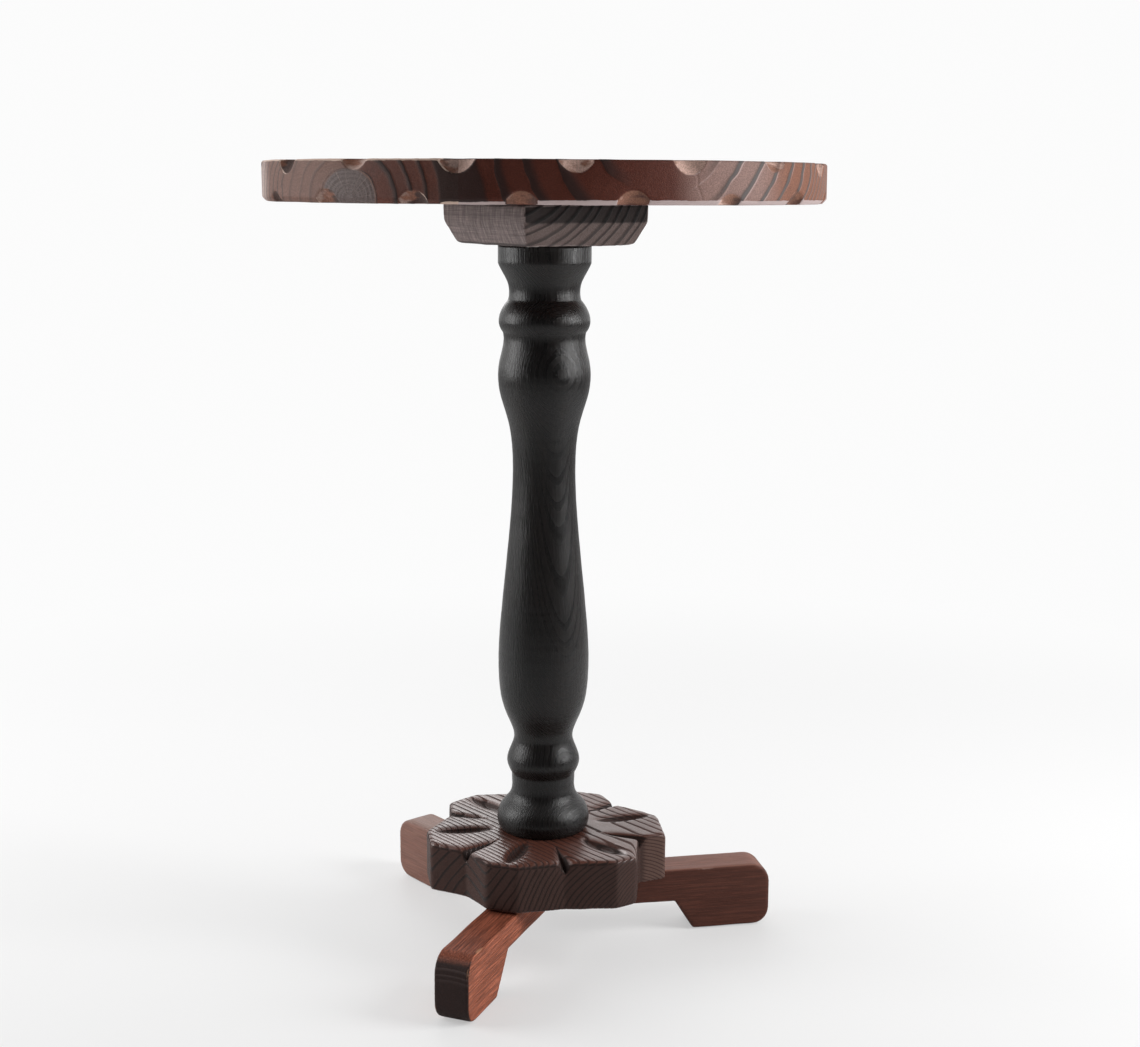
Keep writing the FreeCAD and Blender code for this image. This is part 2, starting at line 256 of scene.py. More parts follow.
def band_faces(turns: int, rows: int) -> list[tuple[int, ...]]:
    """Faces of a closed band whose points are listed column by column, each from the top down.

    Args:
        turns: number of columns round the band.
        rows: points in a column.

    Returns:
        The point numbers of each face.
    """
    faces = []
    for turn in range(turns):
        here, ahead = turn * rows, (turn + 1) % turns * rows
        faces += [(here + row, here + row + 1, ahead + row + 1, ahead + row) for row in range(rows - 1)]
    return faces


def caster(nodes: Iterable[str]) -> BVHTree:
    """Ray caster over the solids of some CAD nodes.

    Args:
        nodes: names of the nodes.

    Returns:
        A tree for ray casts in the row frame.
    """
    points: list = []
    faces: list = []
    for node in nodes:
        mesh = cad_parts[node].data
        first = len(points)
        points += [vertex.co.copy() for vertex in mesh.vertices]
        faces += [[first + number for number in polygon.vertices] for polygon in mesh.polygons]
    return BVHTree.FromPolygons(points, faces)


def show(name: str, data: bpy.types.ID) -> bpy.types.Object:
    """New object in the scene.

    Args:
        name: its name.
        data: its mesh, lamp or camera.

    Returns:
        The object.
    """
    made = bpy.data.objects.new(name, data)
    bpy.context.scene.collection.objects.link(made)
    return made


@dataclass(frozen=True)
class Log:
    """The log that a piece was sawn from, in millimetres, which sets where its growth rings run.

    The pith is the middle of the log and runs along the fibre. A year's growth ends in hard, dark late
    wood. A span across the fibre gives the places where a change starts and where it is complete.
    """

    pith: Place
    fibre_azimuth: Optional[float]
    year_ends: tuple[float, ...]
    far_year_ends: Optional[tuple[float, ...]] = None
    far_across: Span = (-6.0, 6.0)
    dip: float = 0.0
    dip_length: float = 180.0
    wobble: float = 0.7
    wobble_length: float = 26.0
    bold_across: Optional[Span] = None
    edge_across: Optional[Span] = None
    sap_across: Optional[Span] = None
    core: float = 0.0
    dark_from: Optional[float] = None
    dark_side: int = -1
    blank: Optional[Span] = None
    blank_fade: float = 12.0
    reach: float = 400.0
    seed: int = 1

    def axes(self) -> Array:
        """Directions of the log; an upright fibre has no azimuth.

        Returns:
            Rows: across the fibre, up, and along the fibre.
        """
        if self.fibre_azimuth is None:
            return np.eye(3)
        angle = math.radians(self.fibre_azimuth)
        along = np.array([math.cos(angle), math.sin(angle), 0.0])
        up = np.array([0.0, 0.0, 1.0])
        return np.array([np.cross(along, up), up, along])

    def grain(self, points: Array) -> Array:
        """Places in the log, in millimetres across, up and along from the pith, of points in metres."""
        return (points / MM - np.array(self.pith)) @ self.axes().T

    def years(self, points: Array) -> Array:
        """Years of growth between the pith and each point.

        Args:
            points: points in metres in the row frame.

        Returns:
            One number of years for each point, whole where late wood ends.
        """
        grain = self.grain(points)
        dip = self.dip * np.clip(1.0 - (grain[:, 2] / self.dip_length) ** 2, 0.0, 1.0)
        radius = np.hypot(grain[:, 0], grain[:, 1] + dip)
        places = grain / FIBRE_STRETCH / self.wobble_length
        for share, fineness, step in WAVERS:
            radius = radius + share * self.wobble * lattice_noise(places * fineness, self.seed + step)
        near = self._count(radius, self.year_ends, self.dark_side < 0)
        if self.far_year_ends is None:
            return near
        far = self._count(radius, self.far_year_ends, self.dark_side > 0)
        share = smoothstep(*self.far_across, grain[:, 0])
        return near * (1.0 - share) + far * share

    def boldness(self, points: Array) -> Array:
        """How dark and wide the late wood is.

        Args:
            points: points in metres in the row frame.

        Returns:
            For each point 1 where bold, 0 on the faint side of the pith and -1 in the core.
        """
        grain = self.grain(points)
        bold = np.ones(len(points))
        if self.bold_across is not None:
            bold = smoothstep(*self.bold_across, grain[:, 0])
        if self.core:
            edge = (share * self.core for share in CORE_EDGE)
            outside = smoothstep(*edge, np.hypot(grain[:, 0], grain[:, 1]))
            bold = bold * outside - (1.0 - outside)
        return bold

    def sap(self, points: Array) -> Array:
        """Share of the outer wood, which takes the oil in another tone, at each point.

        Args:
            points: points in metres in the row frame.

        Returns:
            One value from 0 to 1 for each point.
        """
        if self.sap_across is None:
            return np.zeros(len(points))
        return smoothstep(*self.sap_across, self.grain(points)[:, 0])

    def lines(self, points: Array) -> Array:
        """Strength of late wood: it fades where a ring lies along the face and doubles at the outer edge.

        Args:
            points: points in metres in the row frame.

        Returns:
            One value for each point.
        """
        across = self.grain(points)[:, 0]
        if self.edge_across is not None:
            return 1.0 + smoothstep(*self.edge_across, across)
        if self.blank is None:
            return np.ones(len(points))
        start, end = (
            smoothstep(place - self.blank_fade, place + self.blank_fade, across) for place in self.blank
        )
        return 1.0 - start * (1.0 - end)

    def _count(self, radius: Array, ends: Sequence[float], dark: bool) -> Array:
        """Years at each radius, going on evenly past the last ring, or staying dark past a given radius.

        Args:
            radius: distances from the pith.
            ends: radii at which the years end.
            dark: True on the side where the wood turns dark.

        Returns:
            One number of years for each radius.
        """
        step = ends[-1] - ends[-2]
        edges = [0.0, *ends]
        while edges[-1] < self.reach:
            edges.append(edges[-1] + step)
        years = np.interp(radius, edges, np.arange(len(edges)))
        if not dark or self.dark_from is None:
            return years
        level = math.floor(np.interp(self.dark_from, edges, np.arange(len(edges)))) + YEAR_DARK
        return np.where(radius > self.dark_from, level, years)


def even_years(step: float, sway: float, pace: float, count: int, start: float = 0.0) -> tuple[float, ...]:
    """Radii at which years end: a mean step each, swayed at a pace in radians, up to a count of years."""
    return tuple(step * year + sway * math.sin(pace * year + start) for year in range(1, count))


def late_wood(years: Array, start: float, full: float) -> Array:
    """How much of each point is late wood, from 0 to 1, rising over a year and ending sharply."""
    share = years - np.floor(years)
    return smoothstep(start, full, share) * (1.0 - smoothstep(YEAR_TAIL, 1.0, share))


class Graph:
    """Short calls that place and join shader nodes in one tree."""

    def __init__(self, tree: NodeTree) -> None:
        """Empties the tree and starts drawing in it."""
        self.tree = tree
        self.tree.nodes.clear()

    def node(self, kind: str, **settings: object) -> Node:
        """New node.

        Args:
            kind: Blender's name of the node.
            settings: values of the node's own properties.

        Returns:
            The node.
        """
        made = self.tree.nodes.new(kind)
        made.location = (180.0 * len(self.tree.nodes), 0.0)
        for name, value in settings.items():
            setattr(made, name, value)
        return made

    def feed(self, socket: Socket, value: Feed) -> None:
        """Joins a socket to an output, or sets its constant.

        Args:
            socket: the socket.
            value: an output or a constant.
        """
        if isinstance(value, bpy.types.NodeSocket):
            self.tree.links.new(value, socket)
        else:
            socket.default_value = (*value, 1.0) if socket.type == "RGBA" else value

    def made(self, kind: str, inputs: dict, output: Union[int, str] = 0, **settings: object) -> Socket:
        """New node with its inputs fed.

        Args:
            kind: Blender's name of the node.
            inputs: what each input takes, by its name or number.
            output: name or number of the output wanted.
            settings: values of the node's own properties.

        Returns:
            The output.
        """
        node = self.node(kind, **settings)
        for name, value in inputs.items():
            self.feed(node.inputs[name], value)
        return node.outputs[output]

    def sum(self, operation: str, *values: Feed) -> Socket:
        """One step of arithmetic."""
        return self.made("ShaderNodeMath", dict(enumerate(values)), operation=operation)

    def times(self, *values: Feed) -> Socket:
        """Product of some values."""
        return reduce(lambda first, second: self.sum("MULTIPLY", first, second), values)

    def ramp(self, value: Feed, low: Feed, high: Feed, start: Feed = 0.0, end: Feed = 1.0) -> Socket:
        """Eased ramp of a value, from start where it is low to end where it is high."""
        inputs = {"Value": value, "From Min": low, "From Max": high, "To Min": start, "To Max": end}
        return self.made("ShaderNodeMapRange", inputs, "Result", interpolation_type="SMOOTHSTEP")

    def mix(self, share: Feed, first: Feed, second: Feed) -> Socket:
        """Colour between two colours."""
        return self.made("ShaderNodeMix", {0: share, 6: first, 7: second}, 2, data_type="RGBA")

    def dimmed(self, colour: Feed, by: Socket) -> Socket:
        """Colour scaled by a value."""
        return self.made("ShaderNodeVectorMath", {0: colour, "Scale": by}, operation="SCALE")

    def noise(self, places: Socket, scale: Feed, detail: float = 3.0, rough: float = 0.55) -> Socket:
        """Value of Blender's noise at some places."""
        inputs = {"Vector": places, "Scale": scale, "Detail": detail, "Roughness": rough}
        return self.made("ShaderNodeTexNoise", inputs, "Fac")

    def mask(self, mask: Mask) -> Socket:
        """Value that the mesh carries."""
        return self.made("ShaderNodeAttribute", {}, "Fac", attribute_name=mask.value)

    def grain(self, stretch: Optional[Place] = None) -> Socket:
        """Places in the log, scaled differently along each axis if a stretch is given.

        Args:
            stretch: scale across, up and along.

        Returns:
            The places.
        """
        places = self.made("ShaderNodeAttribute", {}, "Vector", attribute_name=Mask.GRAIN.value)
        if stretch is None:
            return places
        return self.made("ShaderNodeVectorMath", {0: places, 1: stretch}, operation="MULTIPLY")

    def part(self, places: Socket, axis: str) -> Socket:
        """One coordinate of some places."""
        return self.made("ShaderNodeSeparateXYZ", {0: places}, axis)

    def group(self, tree: NodeTree, **values: Feed) -> Outputs:
        """Places a shared effect.

        Args:
            tree: the effect's node group.
            values: its inputs by name.

        Returns:
            Its outputs by name.
        """
        node = self.node("ShaderNodeGroup", node_tree=tree)
        for name, value in values.items():
            self.feed(node.inputs[name], value)
        return {socket.name: socket for socket in node.outputs}

    def blend(self, share: Socket, first: Socket, second: Socket) -> Socket:
        """Shader between two shaders."""
        return self.made("ShaderNodeMixShader", {0: share, 1: first, 2: second})

    def end(self, shader: Socket, kind: str = "ShaderNodeOutputMaterial") -> None:
        """Makes a shader the surface."""
        self.feed(self.node(kind).inputs["Surface"], shader)


def new_material(name: str) -> tuple[bpy.types.Material, Graph]:
    """An empty material and the graph to draw it in.

    Args:
        name: the material's name.

    Returns:
        Both of them.
    """
    made = bpy.data.materials.new(name)
    made.use_nodes = True
    return made, Graph(made.node_tree)


class Effects:
    """Shader node groups that several finishes share, each built once."""

    # Bands of the core start earlier and are weaker. A faint band gains strength as it gets bolder. A glint
    # is a painted highlight at the pale start of a faint year, as light on the raised band's edge. Noise is
    # stretched across, up and along.
    CORE_SHIFT = 0.3
    CORE_LINE = 0.5
    LINE_FULL = 0.6
    GLINT: Span = (0.02, 0.1)
    STREAKS: Place = (1.0, 1.0, 0.035)
    FUZZ: Place = (0.2, 0.04, 0.5)
    PATCHES: Place = (1.0, 1.0, 0.3)
    GOUGE_STREAKS: Place = (0.4, 1.0, 0.1)
    STAIN_AND_LIGHT_SHARE = 0.3

    def __init__(self) -> None:
        """Builds every shared effect."""
        self.late = self._late_wood()
        self.fibre = self._fibre()
        self.tone = self._tone()
        self.worn = self._worn()
        self.cuts = self._cuts()

    @staticmethod
    def _open(name: str, inputs: dict[str, float], outputs: Iterable[str]) -> tuple[Graph, Outputs, Node]:
        """New empty group.

        Args:
            name: the effect's name.
            inputs: its inputs with their usual values.
            outputs: its outputs.

        Returns:
            The graph to draw in, the inputs by name and the output node.
        """
        tree = bpy.data.node_groups.new(name, "ShaderNodeTree")
        graph = Graph(tree)
        for label, value in inputs.items():
            socket = tree.interface.new_socket(label, in_out="INPUT", socket_type="NodeSocketFloat")
            socket.default_value = value
        for label in outputs:
            tree.interface.new_socket(label, in_out="OUTPUT", socket_type="NodeSocketFloat")
        entry = graph.node("NodeGroupInput")
        return graph, {socket.name: socket for socket in entry.outputs}, graph.node("NodeGroupOutput")

    @staticmethod
    def _close(graph: Graph, out: Node, **values: Socket) -> NodeTree:
        """Feeds a group's outputs and hands the group over.

        Args:
            graph: the group's graph.
            out: its output node.
            values: its outputs by name.

        Returns:
            The group.
        """
        for name, value in values.items():
            graph.feed(out.inputs[name], value)
        return graph.tree

    def _late_wood(self) -> NodeTree:
        """Dark bands of late wood, one for each year, narrow where they are faint, with a painted highlight
        at the start of each faint year.

        Returns:
            The group.
        """
        usual = {"Start": 0.45, "Full": 0.9, "Line": 0.6}
        graph, given, out = self._open("late wood", usual, ("Late", "Faint", "Core", "Lip"))
        share = graph.sum("FRACT", graph.mask(Mask.YEARS))
        bold = graph.mask(Mask.BOLD)
        core = graph.ramp(bold, -1.0, 0.0, 1.0, 0.0)
        shift = graph.times(core, self.CORE_SHIFT)
        start, full = (
            graph.sum("SUBTRACT", graph.ramp(bold, 0.0, 1.0, narrow, given[wide]), shift)
            for narrow, wide in zip(FAINT_BAND, ("Start", "Full"))
        )
        late = graph.times(
            graph.ramp(share, start, full),
            graph.ramp(share, YEAR_TAIL, 1.0, 1.0, 0.0),
            graph.mask(Mask.LINES),
            graph.ramp(core, 0.0, 1.0, 1.0, self.CORE_LINE),
            graph.ramp(bold, 0.0, self.LINE_FULL, given["Line"], 1.0),
        )
        faint = graph.ramp(bold, 0.0, 1.0, 1.0, 0.0)
        # Painted highlight at the pale start of each faint year.
        glint = graph.times(
            graph.ramp(share, *self.GLINT, 1.0, 0.0),
            graph.ramp(share, 0.0, self.GLINT[0]),
            graph.ramp(bold, 0.0, 0.5, 1.0, 0.0),
        )
        return self._close(graph, out, Late=late, Faint=faint, Core=core, Lip=glint)

    def _fibre(self) -> NodeTree:
        """Fine streaks along the fibre, and fuzz across it.

        Returns:
            The group.
        """
        graph, given, out = self._open("fibre streaks", {"Fineness": 1.4}, ("Streak", "Fuzz"))
        streak = graph.noise(graph.grain(self.STREAKS), given["Fineness"], 4.0, 0.65)
        fuzz = graph.noise(graph.grain(self.FUZZ), given["Fineness"], 4.0, 0.7)
        return self._close(graph, out, Streak=streak, Fuzz=fuzz)

    def _tone(self) -> NodeTree:
        """Slow changes of tone, drawn out along the fibre.

        Returns:
            The group.
        """
        graph, given, out = self._open("tone patches", {"Patches": 0.04}, ("Tone",))
        patches = graph.noise(graph.grain(self.PATCHES), given["Patches"], 3.0, 0.6)
        return self._close(graph, out, Tone=graph.ramp(patches, 0.34, 0.66))

    def _worn(self) -> NodeTree:
        """Arrises painted pale in places, as wear and as painted light on bevels and highlights, so that no
        line is even.

        Returns:
            The group.
        """
        graph, given, out = self._open("arrises worn and lit", {"Amount": 1.0}, ("Worn",))
        kept = graph.ramp(graph.noise(graph.grain(), 0.07, 4.0, 0.6), 0.36, 0.62, 0.05, 0.7)
        worn = graph.ramp(graph.sum("SUBTRACT", graph.mask(Mask.WEAR_AND_LIGHT), kept), 0.0, 0.35)
        return self._close(graph, out, Worn=graph.times(worn, given["Amount"]))

    def _cuts(self) -> NodeTree:
        """Hollows that a tool has cut fresh, which take oil unevenly, with painted light and shade on their
        walls and on some uncut faces; and end grain that drinks stain, with the disc's upright faces.

        Returns:
            The group.
        """
        outputs = ("Hollow", "Pale", "Deep", "End")
        graph, given, out = self._open("cut faces and painted light", {"Hollow": 1.0, "End": 1.0}, outputs)
        patches = graph.noise(graph.grain(), 0.055, 3.0, 0.6)
        streaks = graph.noise(graph.grain(self.GOUGE_STREAKS), 0.2, 2.0, 0.5)
        # Stain, and painted light and shade on the gouge walls.
        stain = graph.times(graph.mask(Mask.STAIN_AND_LIGHT), self.STAIN_AND_LIGHT_SHARE)
        pale = graph.sum("SUBTRACT", graph.sum("ADD", patches, streaks), stain)
        deep = graph.sum("ADD", graph.sum("SUBTRACT", streaks, patches), stain)
        hollow = graph.times(graph.mask(Mask.CUT_AND_LIGHT), given["Hollow"])
        end = graph.times(graph.mask(Mask.END), given["End"])
        pale, deep = graph.ramp(pale, 1.0, 1.25), graph.ramp(deep, 0.0, 0.22)
        return self._close(graph, out, Hollow=hollow, Pale=pale, Deep=deep, End=end)


@dataclass(frozen=True)
class WoodFinish:
    """Stain, oil and wear of one kind of wood, with painted light and shade on some faces. The bump is in
    millimetres.
    """

    name: str
    early: Colour
    warm: Colour
    late: Colour
    # The worn colour also paints light on bevels and highlights; the hollow colours also paint light and
    # shade.
    worn: Colour
    hollow: Colour
    end: Colour
    faint: Optional[Colour] = None
    faint_late: Optional[Colour] = None
    core: Optional[Colour] = None
    sap: Optional[Colour] = None
    hollow_pale: Optional[Colour] = None
    hollow_deep: Optional[Colour] = None
    end_line: Optional[Colour] = None
    end_faint: Optional[Colour] = None
    late_start: float = 0.45
    late_full: float = 0.9
    late_share: float = 0.9
    faint_line: float = 0.6
    hollow_share: float = 0.8
    hollow_late: float = 0.15
    end_share: float = 0.6
    worn_share: float = 0.7
    streak_share: float = 0.45
    fineness: float = 1.4
    patches: float = 0.035
    rough_early: float = 0.5
    rough_late: float = 0.4
    shine: float = 0.4
    polish: float = 0.0
    polish_rough: float = 0.25
    polish_ior: float = 1.5
    bump: float = 0.25
    fuzz: float = 0.0
    fuzz_share: float = 0.0

    def material(self, effects: Effects) -> bpy.types.Material:
        """Builds the finish.

        Args:
            effects: the shared node groups.

        Returns:
            The material.
        """
        made, graph = new_material(self.name)
        rings = graph.group(effects.late, Start=self.late_start, Full=self.late_full, Line=self.faint_line)
        fibre = graph.group(effects.fibre, Fineness=self.fineness)
        # Pale arrises: wear, and on some pieces painted light on bevels and painted highlights.
        worn = graph.group(effects.worn, Amount=self.worn_share)["Worn"]
        late = rings["Late"]
        colour = self._ends(graph, effects, rings, self._faces(graph, effects, rings, fibre))
        height = graph.sum("MULTIPLY_ADD", fibre["Fuzz"], self.fuzz, fibre["Streak"])
        bump = {"Strength": 1.0, "Distance": self.bump * MM, "Height": height}
        inputs = {
            "Base Color": graph.mix(worn, colour, self.worn),
            "Roughness": graph.ramp(late, 0.0, 1.0, self.rough_early, self.rough_late),
            "Normal": graph.made("ShaderNodeBump", bump, "Normal"),
            "Specular IOR Level": self.shine,
        }
        if self.polish:
            bare = graph.sum("MAXIMUM", graph.mask(Mask.CUT_AND_LIGHT), graph.mask(Mask.END))
            kept = graph.ramp(bare, 0.0, 1.0, self.polish, 0.0)
            inputs["Coat Weight"] = graph.times(graph.sum("MAXIMUM", late, worn), kept)
            inputs["Coat Roughness"] = self.polish_rough
            inputs["Coat IOR"] = self.polish_ior
        graph.end(graph.made("ShaderNodeBsdfPrincipled", inputs))
        return made

    def _faces(self, graph: Graph, effects: Effects, rings: Outputs, fibre: Outputs) -> Socket:
        """Colour of long grain and fresh cuts, with the painted light and shade that the hollow mask
        carries, before the pale arrises.

        Args:
            graph: the material's graph.
            effects: the shared node groups.
            rings: outputs of the late wood effect.
            fibre: outputs of the fibre effect.

        Returns:
            The colour.
        """
        tone = graph.group(effects.tone, Patches=self.patches)["Tone"]
        cuts = graph.group(effects.cuts, Hollow=self.hollow_share)
        colour = graph.mix(tone, self.early, self.warm)
        sap = graph.mask(Mask.SAP)
        layers = ((rings["Faint"], self.faint), (rings["Core"], self.core), (sap, self.sap))
        colour = self._layered(graph, colour, layers)
        if self.fuzz_share:
            fuzz = graph.ramp(fibre["Fuzz"], 0.3, 0.7, 1.0 - self.fuzz_share, 1.0 + self.fuzz_share)
            colour = graph.dimmed(colour, fuzz)
        # Hollow colours: fresh cuts, and painted light and shade on gouge walls, the block's lower slopes,
        # the feet's upper faces and the disc's grooves.
        layers = ((cuts["Pale"], self.hollow_pale), (cuts["Deep"], self.hollow_deep))
        colour = graph.mix(cuts["Hollow"], colour, self._layered(graph, self.hollow, layers))
        streak = (1.0 - self.streak_share, 1.0 + 0.5 * self.streak_share)
        colour = graph.dimmed(colour, graph.ramp(fibre["Streak"], 0.35, 0.7, *streak))
        whole = graph.ramp(cuts["Hollow"], 0.0, 1.0, self.late_share, self.hollow_late * self.late_share)
        colour = graph.mix(graph.times(rings["Late"], whole), colour, self.late)
        if self.faint_late is not None:
            middle = graph.times(graph.ramp(rings["Late"], 0.7, 0.95), rings["Faint"], whole)
            # Painted highlight: the pale start of each faint year takes the worn colour, as light on the
            # raised band's edge.
            glint = graph.times(rings["Lip"], graph.ramp(tone, 0.0, 1.0, 0.65, 0.1), whole)
            colour = self._layered(graph, colour, ((middle, self.faint_late), (glint, self.worn)))
        if self.core is not None:
            colour = graph.mix(graph.times(self._rays(graph), rings["Core"]), colour, self.worn)
        return colour

    def _ends(self, graph: Graph, effects: Effects, rings: Outputs, colour: Socket) -> Socket:
        """Colour with the end grain's over it.

        Args:
            graph: the material's graph.
            effects: the shared node groups.
            rings: outputs of the late wood effect.
            colour: colour of the other faces.

        Returns:
            The colour.
        """
        end: Feed = self.end
        if self.end_line is not None:
            line = self._layered(graph, self.end_line, ((rings["Faint"], self.end_faint),))
            end = graph.mix(rings["Late"], end, line)
        return graph.mix(graph.group(effects.cuts, End=self.end_share)["End"], colour, end)

    @staticmethod
    def _layered(graph: Graph, colour: Feed, layers: Iterable[tuple[Socket, Optional[Colour]]]) -> Feed:
        """Colour with others laid over it by their shares, but for those that a finish does without.

        Args:
            graph: the material's graph.
            colour: the colour underneath.
            layers: a share and a colour each.

        Returns:
            The colour.
        """
        for share, other in layers:
            colour = colour if other is None else graph.mix(share, colour, other)
        return colour

    @staticmethod
    def _rays(graph: Graph) -> Socket:
        """Fine drying cracks that run out from the pith.

        Args:
            graph: the material's graph.

        Returns:
            Their share.
        """
        places = graph.grain()
        angle = graph.sum("ARCTAN2", graph.part(places, "Y"), graph.part(places, "X"))
        around = graph.made("ShaderNodeCombineXYZ", {0: angle})
        return graph.ramp(graph.noise(around, 11.0, 3.0, 0.7), 0.56, 0.72, 0.0, 0.55)


@dataclass(frozen=True)
class PlainFinish:
    """Finish of the small hidden fittings, which carry no grain values: dowels, wedges and screws."""

    name: str
    pale: Colour
    dark: Colour
    scale: float
    rough: float
    metallic: float
    rough_spread: float = 0.2

    def material(self) -> bpy.types.Material:
        """Builds the finish.

        Returns:
            The material.
        """
        made, graph = new_material(self.name)
        value = graph.noise(graph.made("ShaderNodeTexCoord", {}, "Object"), self.scale, 4.0, 0.6)
        inputs = {
            "Metallic": self.metallic,
            "Base Color": graph.mix(graph.ramp(value, 0.35, 0.65), self.dark, self.pale),
            "Roughness": graph.ramp(value, 0.2, 0.8, self.rough, self.rough + self.rough_spread),
        }
        graph.end(graph.made("ShaderNodeBsdfPrincipled", inputs))
        return made


@dataclass
class Skin:
    """A mesh's surface as arrays with one row for each point, and its edges as pairs of point numbers.

    End is how squarely a point faces along the fibre and hollow how much of it takes the hollow colour,
    from 0 to 1:
    cut fresh, and on some pieces painted light and shade.
    """

    mesh: Mesh
    points: Array
    normals: Array
    edges: Array
    end: Array
    hollow: Array

    def upright(self) -> Array:
        """How upright the face is at each point, from 0 to 1."""
        return 1.0 - smoothstep(*LEVEL, np.abs(self.normals[:, 2]))

    def inset(self) -> Array:
        """Each point's distance from the rim, in millimetres, 0 at the rim and below 0 inside it."""
        radius = np.hypot(self.points[:, 0], self.points[:, 1])
        return (radius - radius.max()) / MM


@dataclass
class WoodPiece:
    """A wooden piece that stands for a CAD node, remeshed evenly and brushed along its growth rings.

    Sizes are in millimetres. Relief is how deep the soft early wood lies below the late wood. Rounds of
    wear rub the arrises, and an arris is painted pale, as wear and as a painted highlight, by how sharply
    it turns.
    """

    node: str
    name: str
    slot: Slot
    log: Log
    finish: WoodFinish
    relief: float = 0.3
    end_relief: float = 0.3
    uneven: float = 0.15
    uneven_length: float = 18.0
    voxel: float = 0.8
    easing: int = 2
    wear: int = 8
    wear_length: float = 22.0
    wear_pace: float = 0.5
    wear_mean: float = 0.65
    wear_spread: float = 0.7
    wear_least: float = 0.1
    arris_turn: Span = (0.02, 0.12)
    arris_rounds: int = 2
    arris_share: float = 1.0
    side_bold: float = 1.0
    end_bold: float = 1.0
    end_span: Span = (0.75, 0.95)

    def build(self, effects: Effects) -> None:
        """Builds and dresses the piece, riding on the body and standing for its node.

        Args:
            effects: the shared node groups.
        """
        mesh = self.shape()
        self.rub(mesh)
        self.brush(mesh)
        mesh.shade_smooth()
        mesh.materials.clear()
        mesh.materials.append(self.finish.material(effects))
        piece = show(self.name, mesh)
        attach(piece, "root")
        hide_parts(self.node)
        LOG.info("%s stands for %s with %d faces", self.name, self.node, len(mesh.polygons))

    def shape(self) -> Mesh:
        """Even mesh of the solid, with its arrises a little rounded.

        Returns:
            The mesh.
        """
        solid = show(self.name + "_solid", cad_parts[self.node].data.copy())
        even = solid.modifiers.new("even faces", "REMESH")
        even.mode = "VOXEL"
        even.voxel_size = self.voxel * MM
        graph = bpy.context.evaluated_depsgraph_get()
        mesh = bpy.data.meshes.new_from_object(solid.evaluated_get(graph))
        bpy.data.objects.remove(solid)
        write_points(mesh, softened(read_points(mesh), read_edges(mesh), self.easing))
        return mesh

    def skin(self, mesh: Mesh) -> Skin:
        """The mesh's surface as it is now, with nothing cut fresh.

        Args:
            mesh: the piece's mesh.

        Returns:
            Its arrays.
        """
        points = read_points(mesh)
        normals = self.facing(mesh, points)
        end = np.abs(normals @ self.log.axes()[2])
        return Skin(mesh, points, normals, read_edges(mesh), end, np.zeros(len(points)))

    def rub(self, mesh: Mesh) -> None:
        """Rounds the outward arrises unevenly, as use does, while hollows and flat faces stay.

        Args:
            mesh: the piece's mesh.
        """
        skin = self.skin(mesh)
        points = skin.points
        uneven = lattice_noise(points / (self.wear_length * MM), self.log.seed + WEAR_SEED)
        pace = self.wear_pace * np.clip(self.wear_mean + self.wear_spread * uneven, self.wear_least, 1.0)
        pace = pace * (1.0 - self.held(points))
        for _ in range(self.wear):
            step = neighbour_mean(points, skin.edges) - points
            inward = np.sum(step * skin.normals, axis=1) < 0.0
            points = points + step * (pace * inward)[:, None]
        write_points(mesh, points)

    def brush(self, mesh: Mesh) -> None:
        """Stores the grain's values at each point and sinks the early wood.

        Args:
            mesh: the piece's mesh.
        """
        skin = self.skin(mesh)
        # Hollows: fresh cuts, and on some pieces painted light and shade.
        skin.hollow = self.hollows(skin)
        years = self.years(skin.points)
        grain = self.log.grain(skin.points)
        ending = smoothstep(*END_GRAIN, skin.end)
        bold = self.boldness(skin, ending)
        lines = self.log.lines(skin.points) * self.lines(skin)
        values = {
            Mask.LINES: lines,
            Mask.YEARS: years,
            Mask.GRAIN: grain,
            Mask.END: self.ends(skin) * (1.0 - skin.hollow),
            Mask.BOLD: bold,
            Mask.SAP: self.log.sap(skin.points),
            Mask.WEAR_AND_LIGHT: self.arrises(skin),
            Mask.CUT_AND_LIGHT: skin.hollow,
            Mask.STAIN_AND_LIGHT: self.stain(skin),
        }
        for mask, value in values.items():
            store(mesh, mask.value, value)
        late = late_wood(years, self.finish.late_start, self.finish.late_full) * np.minimum(lines, 1.0)
        depth = self.relief * (FAINT_RELIEF + (1.0 - FAINT_RELIEF) * np.maximum(bold, 0.0))
        depth = (1.0 - late) * (depth + (self.end_relief - depth) * ending)
        rough = lattice_noise(grain / self.uneven_length, self.log.seed + FACE_SEED)
        depth = self.sunk(skin, depth + self.uneven * (0.5 + 0.5 * rough))
        write_points(mesh, skin.points - skin.normals * (depth * MM)[:, None])

    def boldness(self, skin: Skin, ending: Array) -> Array:
        """How bold the rings are on this piece.

        Args:
            skin: the piece's surface.
            ending: how much of each point is end grain.

        Returns:
            One value from -1 to 1 for each point.
        """
        upright = skin.upright()
        bolder = self.bolder(skin)
        side, end = (least + (1.0 - least) * bolder for least in (self.side_bold, self.end_bold))
        bold = side * upright + (1.0 - upright)
        return (bold + (end - bold) * ending) * self.log.boldness(skin.points)

    def arrises(self, skin: Skin) -> Array:
        """How pale the arrises are, from 0 to 1, by how sharply the surface turns outwards: wear, with a
        painted highlight on some pieces.

        Args:
            skin: the piece's surface.

        Returns:
            One value for each point.
        """
        away = skin.points - neighbour_mean(skin.points, skin.edges)
        bulge = np.sum(away * skin.normals, axis=1) / (self.voxel * MM)
        bulge = softened(bulge, skin.edges, self.arris_rounds)
        return self.arris_share * smoothstep(*self.arris_turn, bulge)

